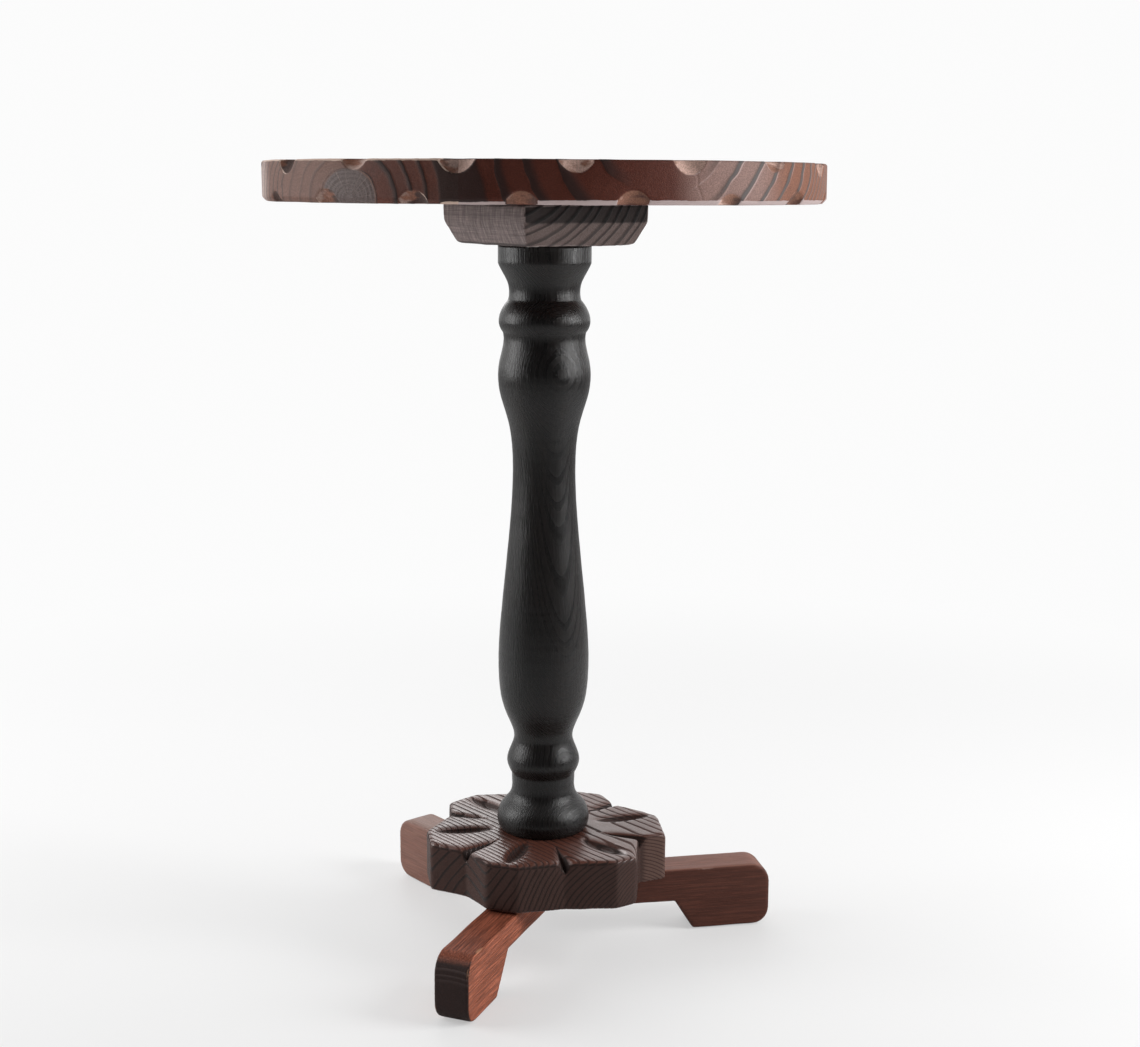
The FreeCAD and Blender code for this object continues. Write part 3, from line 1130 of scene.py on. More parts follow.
    def facing(self, mesh: Mesh, points: Array) -> Array:
        """Directions that the points move along: the mesh's normals."""
        return read_rows(mesh.vertex_normals, "vector", 3).astype(float)

    def years(self, points: Array) -> Array:
        """Years of growth at each point."""
        return self.log.years(points)

    def held(self, points: Array) -> Array:
        """Where the arrises are kept from wear, from 0 to 1: nowhere, for most pieces."""
        return np.zeros(len(points))

    def bolder(self, skin: Skin) -> Array:
        """Where sides and ends have fully bold rings, from 0 to 1: nowhere, for most pieces."""
        return np.zeros(len(skin.points))

    def hollows(self, skin: Skin) -> Array:
        """How much of each point takes the hollow colour, from 0 to 1, for fresh cuts and for painted light
        and shade: nothing, for most pieces.
        """
        return np.zeros(len(skin.points))

    def stain(self, skin: Skin) -> Array:
        """How much darker a fresh cut is, from -1 to 1, by its stain and its painted light and shade:
        evenly, for most pieces.
        """
        return np.zeros(len(skin.points))

    def lines(self, skin: Skin) -> Array:
        """How strongly the rings show at each point, from 0 to 1: fully, for most pieces."""
        return np.ones(len(skin.points))

    def ends(self, skin: Skin) -> Array:
        """Faces that drink stain as end grain does, from 0 to 1."""
        return smoothstep(*self.end_span, skin.end)

    def sunk(self, skin: Skin, depth: Array) -> Array:
        """How far the points sink, in millimetres: as far as the brushing says, for most pieces."""
        return depth


@dataclass
class ShapedPiece(WoodPiece):
    """A piece whose mesh is made elsewhere."""

    mesh: Optional[Mesh] = None

    def shape(self) -> Mesh:
        """The mesh that was given."""
        return self.mesh


@dataclass
class Turning(ShapedPiece):
    """A piece off the lathe, sanded smooth and sharp. Millimetres."""

    relief: float = 0.04
    end_relief: float = 0.04
    uneven: float = 0.06
    uneven_length: float = 9.0
    voxel: float = 0.9
    wear: int = 0


@dataclass
class Plank(ShapedPiece):
    """A plank of the round top, with painted light from the floor on its lower bevel. Millimetres; spans
    run along X.
    """

    relief: float = 0.1
    end_relief: float = 0.3
    uneven: float = 0.25
    wear: int = 4
    glue_line: float = 0.0
    joint_held: Span = (0.48, 1.6)
    joint_fade: float = 8.0
    joint_depth: float = 0.2
    # Painted light: the lower bevel is painted pale as lit by the floor, the upper arris on the left as lit
    # from above, and gouge walls paler facing up and darker facing down.
    bevel_depth: float = 3.6
    bevel_span: Span = (-64.0, -50.0)
    bevel_widens: Span = (-50.0, 40.0)
    bevel_widths: Span = (1.3, 3.2)
    bevel_leans: Span = (0.25, 0.6)
    crown_span: Span = (-25.0, -60.0)
    dark_cuts: Span = (-130.0, -150.0)
    crown_sharpness: float = 5.0
    crown_pale: float = 0.8
    left_dark: float = 2.0
    rim_share: float = 1.3
    bevel_fade: float = 0.4
    lip_share: float = 0.42
    lip_rounds: int = 3
    lip_span: Span = (0.02, 0.2)
    check: Optional[tuple[float, float, float, float]] = None
    check_width: float = 0.55
    check_depth: float = 0.35
    check_sway: float = 0.5
    check_waves: float = 9.0
    check_dark: float = 0.4
    check_front: float = -100.0

    def hollows(self, skin: Skin) -> Array:
        """Depth of the gouges, which the carved round stored in its points."""
        return read_rows(skin.mesh.attributes[CUT_DEPTH].data, "value", 1)[:, 0].astype(float)

    def arrises(self, skin: Skin) -> Array:
        """Pale arrises: wear with painted highlights at the gouges' lips, painted floor light on the lower
        bevel towards the right and painted light from above on the upper arris on the left.

        Args:
            skin: the plank's surface.

        Returns:
            One value from 0 to 1 for each point.
        """
        x, _, z = skin.points.T / MM
        worn = super().arrises(skin) * (1.0 - self.held(skin.points))
        rim = smoothstep(-self.bevel_depth * self.rim_share, -self.bevel_depth, skin.inset())
        least, most = self.bevel_widths
        width = least + (most - least) * smoothstep(*self.bevel_widens, x)
        # Painted floor light on the lower bevel, and painted light from above on the upper arris on the
        # left.
        lower = smoothstep(*self.bevel_leans, -skin.normals[:, 2]) * smoothstep(*self.bevel_span, x)
        lower = lower * smoothstep(self.bevel_fade, 0.0, z - z.min() - width)
        upper = smoothstep(*self.bevel_leans, skin.normals[:, 2]) * smoothstep(*self.crown_span, x)
        lips = smoothstep(*self.lip_span, softened(skin.hollow, skin.edges, self.lip_rounds))
        painted_bevel_light = rim * np.maximum(lower, upper) * (1.0 - skin.hollow)
        return np.maximum(self.lip_share * worn * lips, painted_bevel_light)

    def stain(self, skin: Skin) -> Array:
        """Painted light and shade in the gouges, and stain at the left end.

        Walls that face up are painted paler, as lit from above. The upper gouges are dark on the left wall
        and the lower ones on the right wall, as painted shade; those at the left end are dark all over with
        stain.

        Args:
            skin: the plank's surface.

        Returns:
            One value from -1 to 1 for each point.
        """
        x, y, _ = skin.points.T
        radius = np.maximum(np.hypot(x, y), MM)
        # Painted light and shade: walls facing up are paler and one wall of each gouge darker; the left end
        # takes stain.
        wall = (skin.normals[:, 1] * x - skin.normals[:, 0] * y) / radius
        left = smoothstep(*self.dark_cuts, x / MM)
        crown = np.tanh(self.crown_sharpness * skin.normals[:, 2])
        pale = self.crown_pale * np.maximum(crown, 0.0)
        return np.clip(wall * crown - pale + self.left_dark * left, -1.0, 1.0)

    def years(self, points: Array) -> Array:
        """Years of growth, with the dark end of a year in the drying crack."""
        years = super().years(points)
        return np.where(self.checked(points) > self.check_dark, np.floor(years) + YEAR_DARK, years)

    def checked(self, points: Array) -> Array:
        """Where the front rim has a drying crack.

        Args:
            points: the plank's points.

        Returns:
            For each point 1 in the crack and 0 away from it.
        """
        if self.check is None:
            return np.zeros(len(points))
        start, end = np.array(self.check[:2]), np.array(self.check[2:])
        places = points[:, [0, 2]] / MM - start
        along = np.clip(places @ (end - start) / np.sum((end - start) ** 2), 0.0, 1.0)
        sway = self.check_sway * np.sin(self.check_waves * along)[:, None] * np.array([1.0, 0.0])
        away = np.linalg.norm(places - along[:, None] * (end - start) - sway, axis=1)
        inside = 1.0 - smoothstep(0.5 * self.check_width, self.check_width, away)
        return inside * (points[:, 1] < self.check_front * MM)

    def sunk(self, skin: Skin, depth: Array) -> Array:
        """Brushing depth, made the same on both planks along the glue line and deeper in a crack."""
        near = 1.0 - smoothstep(0.0, self.joint_fade, self.from_joint(skin.points))
        return depth + (self.joint_depth - depth) * near + self.check_depth * self.checked(skin.points)

    def held(self, points: Array) -> Array:
        """1 along the glued edge and 0 away from it."""
        return 1.0 - smoothstep(*self.joint_held, self.from_joint(points))

    def from_joint(self, points: Array) -> Array:
        """Distance from the glued edge, in millimetres."""
        return np.abs(points[:, 0] - self.glue_line) / MM

    def facing(self, mesh: Mesh, points: Array) -> Array:
        """The mesh's normals, kept from pulling the glued edge apart.

        Args:
            mesh: the plank's mesh.
            points: its points.

        Returns:
            One direction for each point.
        """
        normals = super().facing(mesh, points)
        normals[:, 0] *= 1.0 - self.held(points)
        return normals / np.maximum(np.linalg.norm(normals, axis=1), 1e-9)[:, None]


@dataclass
class BrushedBlock(WoodPiece):
    """The square block, brushed deep, with painted light from the floor where its lower faces slope
    inwards. Millimetres.
    """

    relief: float = 0.1
    end_relief: float = 0.5
    uneven: float = 0.4
    uneven_length: float = 9.0
    voxel: float = 0.62
    wear: int = 110
    side_bold: float = 0.1
    slope: Span = (0.15, 0.3)
    under: Span = (0.8, 0.95)
    sawn: Span = (0.3, 0.6)

    def hollows(self, skin: Skin) -> Array:
        """Sloping lower faces at the ends of the fibre, which take the hollow colour as painted light from
        the floor.

        Args:
            skin: the block's surface.

        Returns:
            One value from 0 to 1 for each point.
        """
        lean = -skin.normals[:, 2]
        slope = smoothstep(*self.slope, lean) * (1.0 - smoothstep(*self.under, lean))
        return slope * smoothstep(*self.sawn, skin.end)


@dataclass
class Foot(WoodPiece):
    """A foot with its upper faces painted for how light falls on them from above, its rounded crown and toe
    as thirsty as its end. Millimetres.
    """

    relief: float = 0.05
    end_relief: float = 0.12
    uneven: float = 0.35
    uneven_length: float = 20.0
    voxel: float = 0.55
    wear: int = 30
    # Pale arrises: wear, and a painted highlight on the rounded corners.
    arris_turn: Span = (0.02, 0.07)
    arris_rounds: int = 6
    arris_share: float = 0.75
    end_span: Span = (0.25, 0.6)
    upper: Span = (0.55, 0.9)
    sawn: Span = (0.6, 0.9)
    end_lines: Span = (24.0, 34.0)

    def hollows(self, skin: Skin) -> Array:
        """Upper faces, which take the hollow colour as painted light from above."""
        return smoothstep(*self.upper, skin.normals[:, 2])

    def lines(self, skin: Skin) -> Array:
        """Rings show on the sides and in the upper part of the end."""
        upper = smoothstep(*self.end_lines, skin.points[:, 2] / MM)
        return 1.0 - smoothstep(*self.sawn, skin.end) * (1.0 - upper)


@dataclass
class CarvedDisc(WoodPiece):
    """The petalled disc, with painted shade in the grooves and hollows of its upper face. Millimetres."""

    relief: float = 0.27
    end_relief: float = 0.14
    uneven: float = 0.5
    uneven_length: float = 14.0
    voxel: float = 0.84
    wear: int = 40
    side_bold: float = 0.1
    end_bold: float = 0.2
    carving: Span = (0.15, 1.5)
    brim: Span = (-6.0, -1.8)
    probe: float = 0.4
    bold_right: Span = (66.0, 74.0)
    upper: Span = (0.0, 0.3)
    upper_least: float = 0.2
    smooth_share: float = 0.85

    def bolder(self, skin: Skin) -> Array:
        """Bolder rings on the right-hand side."""
        return smoothstep(*self.bold_right, skin.points[:, 0] / MM)

    def sunk(self, skin: Skin, depth: Array) -> Array:
        """Brushing depth, shallow in the hollows that the gouge left smooth."""
        return depth * (1.0 - self.smooth_share * skin.hollow)

    def rub(self, mesh: Mesh) -> None:
        """Rounds the arrises, then cuts the grooves and hollows clean again.

        Args:
            mesh: the disc's mesh.
        """
        super().rub(mesh)
        skin = self.skin(mesh)
        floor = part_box(self.node)[1].z - self.carved(skin) * MM
        skin.points[:, 2] = np.minimum(skin.points[:, 2], floor)
        write_points(mesh, skin.points)

    def carved(self, skin: Skin) -> Array:
        """Depth of the carving below the upper face, measured on the solid around each point.

        Args:
            skin: the disc's surface.

        Returns:
            One depth in millimetres for each point, 0 away from the upper face.
        """
        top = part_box(self.node)[1].z
        tree = caster((self.node,))
        aside = self.probe * MM
        down = Vector((0.0, 0.0, -1.0))
        depth = np.zeros(len(skin.points))
        for number in np.flatnonzero(skin.normals[:, 2] > self.upper_least):
            x, y, _ = skin.points[number]
            around = ((x, y), (x + aside, y), (x - aside, y), (x, y + aside), (x, y - aside))
            spots = [tree.ray_cast(Vector((*place, top + MM)), down)[0] for place in around]
            levels = [spot.z for spot in spots if spot is not None]
            depth[number] = (top - sum(levels) / len(levels)) / MM if levels else 0.0
        return depth

    def hollows(self, skin: Skin) -> Array:
        """Carved places of the upper face, inside the brim, which take the dark hollow colour as painted
        shade.

        Args:
            skin: the disc's surface.

        Returns:
            One value from 0 to 1 for each point.
        """
        inside = 1.0 - smoothstep(*self.brim, skin.inset())
        level = smoothstep(*self.upper, skin.normals[:, 2])
        return smoothstep(*self.carving, self.carved(skin)) * inside * level

    def ends(self, skin: Skin) -> Array:
        """All upright faces, which take the darker end colour."""
        return skin.upright()


@dataclass
class PlankTop:
    """Round top of two planks, their rim cut with gouges, and the dowels between them. Millimetres.

    The rim has a multiple of some points, so that the rings of points inside it can be halved.
    """

    wide_finish: WoodFinish
    narrow_finish: WoodFinish
    dowel_finish: PlainFinish
    rim_depth: float = 14.0
    rim_step: float = 0.78
    multiple: int = 8
    face_step: float = 2.6
    under_step: float = 5.2
    cut: Span = (0.12, 0.7)
    plain_share: float = 0.97
    thin_out: float = 0.7
    reach: float = 60.0
    crack: tuple[float, float, float, float] = (87.6, 526.6, 90.8, 513.3)

    def build(self, effects: Effects) -> None:
        """Builds both planks and dresses the dowels.

        Args:
            effects: the shared node groups.
        """
        whole = self.carved_round()
        glue_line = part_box("top_board_wide")[0].x
        for piece, side in ((self.wide_plank(), 1), (self.narrow_plank(), -1)):
            piece.mesh = self.halved(whole, glue_line, side)
            piece.glue_line = glue_line
            piece.voxel = self.rim_step
            piece.build(effects)
        bpy.data.meshes.remove(whole)
        dress_node("board_dowels", self.dowel_finish)

    def wide_plank(self) -> Plank:
        """The wider plank, sawn so that its rings sag about a pith above it.

        Returns:
            The plank, without its mesh.
        """
        log = Log(
            pith=(66.0, 0.0, 552.0),
            fibre_azimuth=90.0,
            wobble=1.6,
            wobble_length=15.0,
            blank=(-22.0, 32.0),
            year_ends=(16.0, 38.0, 60.5, 79.0, 95.0, 107.0),
            far_year_ends=(20.0, 40.0, 54.0, 66.0, 77.0, 86.5, 95.0, 101.0, 104.5, 107.5, 110.5, 113.5),
            dip=-8.0,
            bold_across=(33.0, 0.0),
            sap_across=(60.0, 80.0),
            dark_from=106.7,
            seed=3,
        )
        return Plank("top_board_wide", "wide_plank", Slot.TOP, log, self.wide_finish, check=self.crack)

    def narrow_plank(self) -> Plank:
        """The narrower plank, its pith near the lower face and its bands faint on the far side of that.

        Returns:
            The plank, without its mesh.
        """
        heart = (3.0, 5.0, 7.8, 9.6, 12.6, 15.0, 17.5)
        log = Log(
            pith=(-111.0, 0.0, 512.5),
            fibre_azimuth=90.0,
            year_ends=(*heart, 26.0, 33.0, 41.0, 47.0, 50.5, 54.0, 57.5, 60.5, 63.5),
            far_year_ends=(*heart, 30.0, 39.0, 48.0, 56.0, 69.0),
            wobble=0.9,
            wobble_length=12.0,
            bold_across=(-18.0, 20.0),
            edge_across=(-43.0, -48.0),
            sap_across=(-56.0, -66.0),
            core=17.5,
            dark_from=55.7,
            dark_side=1,
            seed=5,
        )
        return Plank("top_board_narrow", "narrow_plank", Slot.TOP, log, self.narrow_finish)

    def carved_round(self) -> Mesh:
        """Both planks as one round mesh, dense at the rim, with the gouges' depth stored at its points.

        Returns:
            The mesh.
        """
        low_wide, high_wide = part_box("top_board_wide")
        low_narrow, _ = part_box("top_board_narrow")
        radius = max(high_wide.x, -low_narrow.x)
        under, top = low_wide.z, high_wide.z
        inner = radius - self.rim_depth * MM
        section = self.section(radius, inner, under, top)
        count = int(2 * math.pi * radius / (self.rim_step * MM)) // self.multiple * self.multiple
        hits = self.cast(section, inner, (under + top) / 2, count)
        rows = hits.shape[1]
        middle = self.star(inner, (under + top) / 2, count)
        reach = np.linalg.norm(hits - middle[:, None, :], axis=2)
        plain = np.quantile(reach, self.plain_share, axis=0)
        cut = smoothstep(*self.cut, (plain[None, :] - reach) / MM)
        points = list(hits.reshape(-1, 3))
        faces = band_faces(count, rows)
        rim_top = [turn * rows for turn in range(count)]
        rim_under = [turn * rows + rows - 1 for turn in range(count)]
        self.fill_face(points, faces, rim_top, inner, top, self.face_step, False)
        self.fill_face(points, faces, rim_under, inner, under, self.under_step, True)
        mesh = mesh_from("carved_round", np.array(points), faces)
        depth = np.zeros(len(points))
        depth[: cut.size] = cut.ravel()
        store(mesh, CUT_DEPTH, depth)
        return mesh

    def section(self, radius: float, inner: float, under: float, top: float) -> Array:
        """Targets of the rim's ray casts: (radius, height) along a plain square rim, evenly spaced.

        Args:
            radius: the top's radius.
            inner: radius at which the flat faces start.
            under: height of the lower face.
            top: height of the upper face.

        Returns:
            Rows of radius and height, from the upper face round to the lower one.
        """
        corners = np.array([(inner, top), (radius, top), (radius, under), (inner, under)])
        lengths = np.linalg.norm(np.diff(corners, axis=0), axis=1)
        along = np.concatenate([[0.0], np.cumsum(lengths)])
        steps = np.linspace(0.0, along[-1], int(along[-1] / (self.rim_step * MM)))
        return np.stack([np.interp(steps, along, corners[:, axis]) for axis in range(2)], axis=1)

    @staticmethod
    def star(inner: float, height: float, count: int) -> Array:
        """Middle points inside the rim that its ray casts run towards."""
        angles = np.arange(count) * (2 * math.pi / count)
        return np.stack([inner * np.cos(angles), inner * np.sin(angles), np.full(count, height)], axis=1)

    def cast(self, section: Array, inner: float, height: float, count: int) -> Array:
        """Carved rim points, by casting rays from outside onto the solids.

        Args:
            section: targets from section().
            inner: radius of the middle points.
            height: height of the middle points.
            count: number of turns round the rim.

        Returns:
            Points as an array of turns by section rows by three.
        """
        tree = caster(("top_board_wide", "top_board_narrow"))
        hits = np.empty((count, len(section), 3))
        for turn, middle in enumerate(self.star(inner, height, count)):
            out = Vector((middle[0], middle[1], 0.0)).normalized()
            centre = Vector(middle)
            for row, (radius, level) in enumerate(section):
                away = (out * (radius - inner) + Vector((0.0, 0.0, level - height))).normalized()
                hits[turn, row] = tree.ray_cast(centre + away * (self.reach * MM), -away)[0]
        return hits

    def fill_face(
        self,
        points: list,
        faces: list,
        rim: list[int],
        radius: float,
        level: float,
        step: float,
        under: bool,
    ) -> None:
        """Fills a flat face with rings of points that thin out towards the middle.

        Args:
            points: points so far, which it adds to.
            faces: faces so far, which it adds to.
            rim: numbers of the points along the face's edge.
            radius: radius of that edge.
            level: height of the face.
            step: distance between points, in millimetres.
            under: True for the lower face.
        """
        ring = rim
        while radius > step * MM * 2:
            count = len(ring)
            spacing = 2 * math.pi * radius / count
            radius -= max(spacing, min(step * MM, spacing * 2))
            halve = count % 2 == 0 and spacing < step * MM * self.thin_out
            fewer = count // 2 if halve else count
            inside = list(range(len(points), len(points) + fewer))
            for turn in range(fewer):
                angle = turn * 2 * math.pi / fewer
                points.append(np.array([radius * math.cos(angle), radius * math.sin(angle), level]))
                ahead = (turn + 1) % fewer
                if halve:
                    near, between, far = ring[2 * turn], ring[2 * turn + 1], ring[(2 * turn + 2) % count]
                    made = [(near, between, inside[turn]), (between, far, inside[ahead], inside[turn])]
                else:
                    made = [(ring[turn], ring[ahead], inside[ahead], inside[turn])]
                faces += [face[::-1] for face in made] if under else made
            ring = inside
        faces.append(tuple(ring[::-1] if under else ring))

    @staticmethod
    def halved(whole: Mesh, glue_line: float, side: int) -> Mesh:
        """The part of the round on one side of the glue line, closed along it.

        Args:
            whole: mesh of the whole round.
            glue_line: the line's place along X.
            side: 1 for the right-hand part, -1 for the left-hand one.

        Returns:
            A new closed mesh.
        """
        work = bmesh.new()
        work.from_mesh(whole)
        everything = list(work.verts) + list(work.edges) + list(work.faces)
        plane = {"plane_co": (glue_line, 0.0, 0.0), "plane_no": (side, 0.0, 0.0)}
        bmesh.ops.bisect_plane(work, geom=everything, dist=1e-7, clear_inner=True, **plane)
        rim = [edge for edge in work.edges if edge.is_boundary]
        bmesh.ops.triangle_fill(work, edges=rim, use_beauty=True, normal=(-side, 0.0, 0.0))
        for edge in rim:
            edge.smooth = False
        bmesh.ops.recalc_face_normals(work, faces=list(work.faces))
        mesh = bpy.data.meshes.new("plank")
        work.to_mesh(mesh)
        work.free()
        return mesh


@dataclass
class BeamBlock:
    """Square block between column and top, and its screws. Millimetres and degrees."""

    finish: WoodFinish
    screw_finish: PlainFinish
    pith: Place = (-50.0, -35.0, 552.0)
    end_azimuth: float = 305.0

    def build(self, effects: Effects) -> None:
        """Builds the block and dresses its screws.

        Args:
            effects: the shared node groups.
        """
        years = even_years(step=6.6, sway=1.0, pace=2.3, count=40)
        log = Log(self.pith, self.end_azimuth, years, wobble=0.8, seed=11)
        BrushedBlock("top_block", "brushed_block", Slot.BLOCK, log, self.finish).build(effects)
        dress_node("top_block_screws", self.screw_finish)


@dataclass
class TurnedColumn:
    """Turned baluster with its tenons, stained black, and the wedges. Millimetres and degrees."""

    finish: WoodFinish
    wedge_finish: PlainFinish
    turns: int = 300
    rows: int = 326
    levels: int = 4000
    bend_share: float = 0.4
    bend_most: float = 6.0
    shoulder_gap: float = 0.02
    wedge_reveal: float = 0.2
    tenon_taper: float = 0.98
    reach: float = 90.0
    clear_azimuth: float = 55.0

    def build(self, effects: Effects) -> None:
        """Builds the column and dresses the wedges.

        Args:
            effects: the shared node groups.
        """
        log = Log(
            pith=(-35.0, -37.0, 520.0),
            fibre_azimuth=None,
            dip=-125.0,
            dip_length=600.0,
            year_ends=even_years(step=1.6, sway=0.35, pace=1.7, count=120),
            wobble=1.3,
            wobble_length=38.0,
            seed=17,
        )
        Turning("column", "turned_column", Slot.COLUMN, log, self.finish, mesh=self.lathe()).build(effects)
        for node in ("upper_wedge", "lower_wedge"):
            dress_node(node, self.wedge_finish)

    def lathe(self) -> Mesh:
        """Mesh of revolution through the solid's own profile.

        Returns:
            The mesh.
        """
        profile = self.profile()
        rows = len(profile)
        angles = np.arange(self.turns) * (2 * math.pi / self.turns)
        points = np.empty((self.turns, rows, 3))
        points[:, :, 0] = np.cos(angles)[:, None] * profile[None, :, 0]
        points[:, :, 1] = np.sin(angles)[:, None] * profile[None, :, 0]
        points[:, :, 2] = profile[None, :, 1]
        starts = [turn * rows for turn in range(self.turns)]
        rising = [(first, *others[::-1]) for first, *others in band_faces(self.turns, rows)]
        ends = [starts[::-1], [start + rows - 1 for start in starts]]
        return mesh_from("turned_column", points.reshape(-1, 3), rising + ends)

    def profile(self) -> Array:
        """Half section of the column, with its levels closer where it bends.

        Returns:
            Rows of radius and height, from the lower tenon's end to the upper one's.
        """
        low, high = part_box("column")
        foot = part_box("base_disc")[1].z
        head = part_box("top_block")[0].z
        tree = caster(("column",))
        gap = self.shoulder_gap * MM
        fine = np.linspace(foot + gap, head - gap, self.levels)
        radii = np.array([self.radius_at(tree, level) for level in fine])
        bend = np.abs(np.gradient(np.gradient(radii, fine), fine))
        travel = np.hypot(np.gradient(radii), np.gradient(fine))
        weight = travel * (1.0 + np.minimum(bend / np.mean(bend), self.bend_most) * self.bend_share)
        along = np.cumsum(weight)
        steps = np.linspace(along[0], along[-1], self.rows)
        body = np.stack([np.interp(steps, along, radii), np.interp(steps, along, fine)], axis=1)
        reveal = self.wedge_reveal * MM
        below, above = (
            [(radius * self.tenon_taper, end + inward), (radius, end + 2 * inward), (radius, shoulder)]
            for end, shoulder, inward in ((low.z, foot, reveal), (high.z, head, -reveal))
            for radius in (self.radius_at(tree, (end + shoulder) / 2),)
        )
        return np.concatenate([np.array(below), body, np.array(above[::-1])])

    def radius_at(self, tree: BVHTree, level: float) -> float:
        """Radius of the solid at a height, measured clear of the wedge slots.

        Args:
            tree: ray caster over the column.
            level: the height.

        Returns:
            The radius.
        """
        angle = math.radians(self.clear_azimuth)
        out = Vector((math.cos(angle), math.sin(angle), 0.0))
        spot = tree.ray_cast(out * (self.reach * MM) + Vector((0.0, 0.0, level)), -out)[0]
        return math.hypot(spot.x, spot.y)


@dataclass
class FootedBase:
    """Carved disc, its three feet and their screws. Millimetres and degrees.

    Each foot has its side, the direction of its fibre and the height of its pith.
    """

    disc_finish: WoodFinish
    foot_finishes: tuple[WoodFinish, ...]
    screw_finish: PlainFinish
    disc_pith: Place = (25.3, 21.2, 25.0)
    fibre_azimuth: float = -50.0
    feet: tuple[tuple[str, float, float], ...] = (
        ("right", 11.2, -30.0),
        ("rear", 131.2, 75.0),
        ("front", 248.4, -24.0),
    )
    close_year: float = 2.4
    wide_year: float = 3.2
    wide_from: float = 62.0
    year_sway: float = 0.18
    year_pace: float = 2.1
    last_year: float = 180.0
    first_seed: int = 31

    def build(self, effects: Effects) -> None:
        """Builds the disc and the feet, each with its fibre along its length, and dresses the screws.

        Args:
            effects: the shared node groups.
        """
        years = self.disc_years()
        log = Log(self.disc_pith, self.fibre_azimuth, years, wobble=0.9, wobble_length=30.0, seed=23)
        CarvedDisc("base_disc", "carved_disc", Slot.DISC, log, self.disc_finish).build(effects)
        for number, (side, azimuth, pith_height) in enumerate(self.feet):
            years = even_years(step=4.2, sway=0.9, pace=1.9, count=40, start=number)
            pith = (0.0, 0.0, pith_height)
            seed = self.first_seed + number
            log = Log(pith, azimuth, years, wobble=1.2, wobble_length=40.0, seed=seed)
            Foot("foot_" + side, side + "_foot", Slot.FOOT, log, self.foot_finishes[number]).build(effects)
        dress_node("foot_screws", self.screw_finish)

    def disc_years(self) -> tuple[float, ...]:
        """Ring radii of the disc's wood: close years first, then wider ones.

        Returns:
            The radii.
        """
        ends = [self.close_year]
        while ends[-1] < self.last_year:
            step = self.close_year if ends[-1] < self.wide_from else self.wide_year
            ends.append(ends[-1] + step * (1.0 + self.year_sway * math.sin(self.year_pace * len(ends))))
        return tuple(ends)


def dress_node(node: str, finish: PlainFinish) -> None:
    """Gives a CAD node that stays its finish.

    Args:
        node: the node's name.
        finish: its finish.
    """
    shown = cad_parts[node]
    shown.data.materials.clear()
    shown.data.materials.append(finish.material())
    LOG.info("%s keeps its solid", node)


@dataclass(frozen=True)
class Softbox:
    """A large soft lamp beside the table. Metres and degrees."""

    name: str
    azimuth: float
    elevation: float
    distance: float
    width: float
    height: float
    watts: float
    aim: float = 0.3

    def build(self) -> None:
        """Hangs the lamp and turns it to the table."""
        light = bpy.data.lights.new(self.name, "AREA")
        light.shape = "RECTANGLE"
        light.size, light.size_y = self.width, self.height
        light.energy = self.watts
        lamp = show(self.name, light)
        across, rise = math.radians(self.azimuth), math.radians(self.elevation)
        level = math.cos(rise)
        away = Vector((math.cos(across) * level, math.sin(across) * level, math.sin(rise)))
        lamp.location = away * self.distance + Vector((0.0, 0.0, self.aim))
        lamp.rotation_euler = (-away).to_track_quat("-Z", "Y").to_euler()
        lamp.visible_camera = False


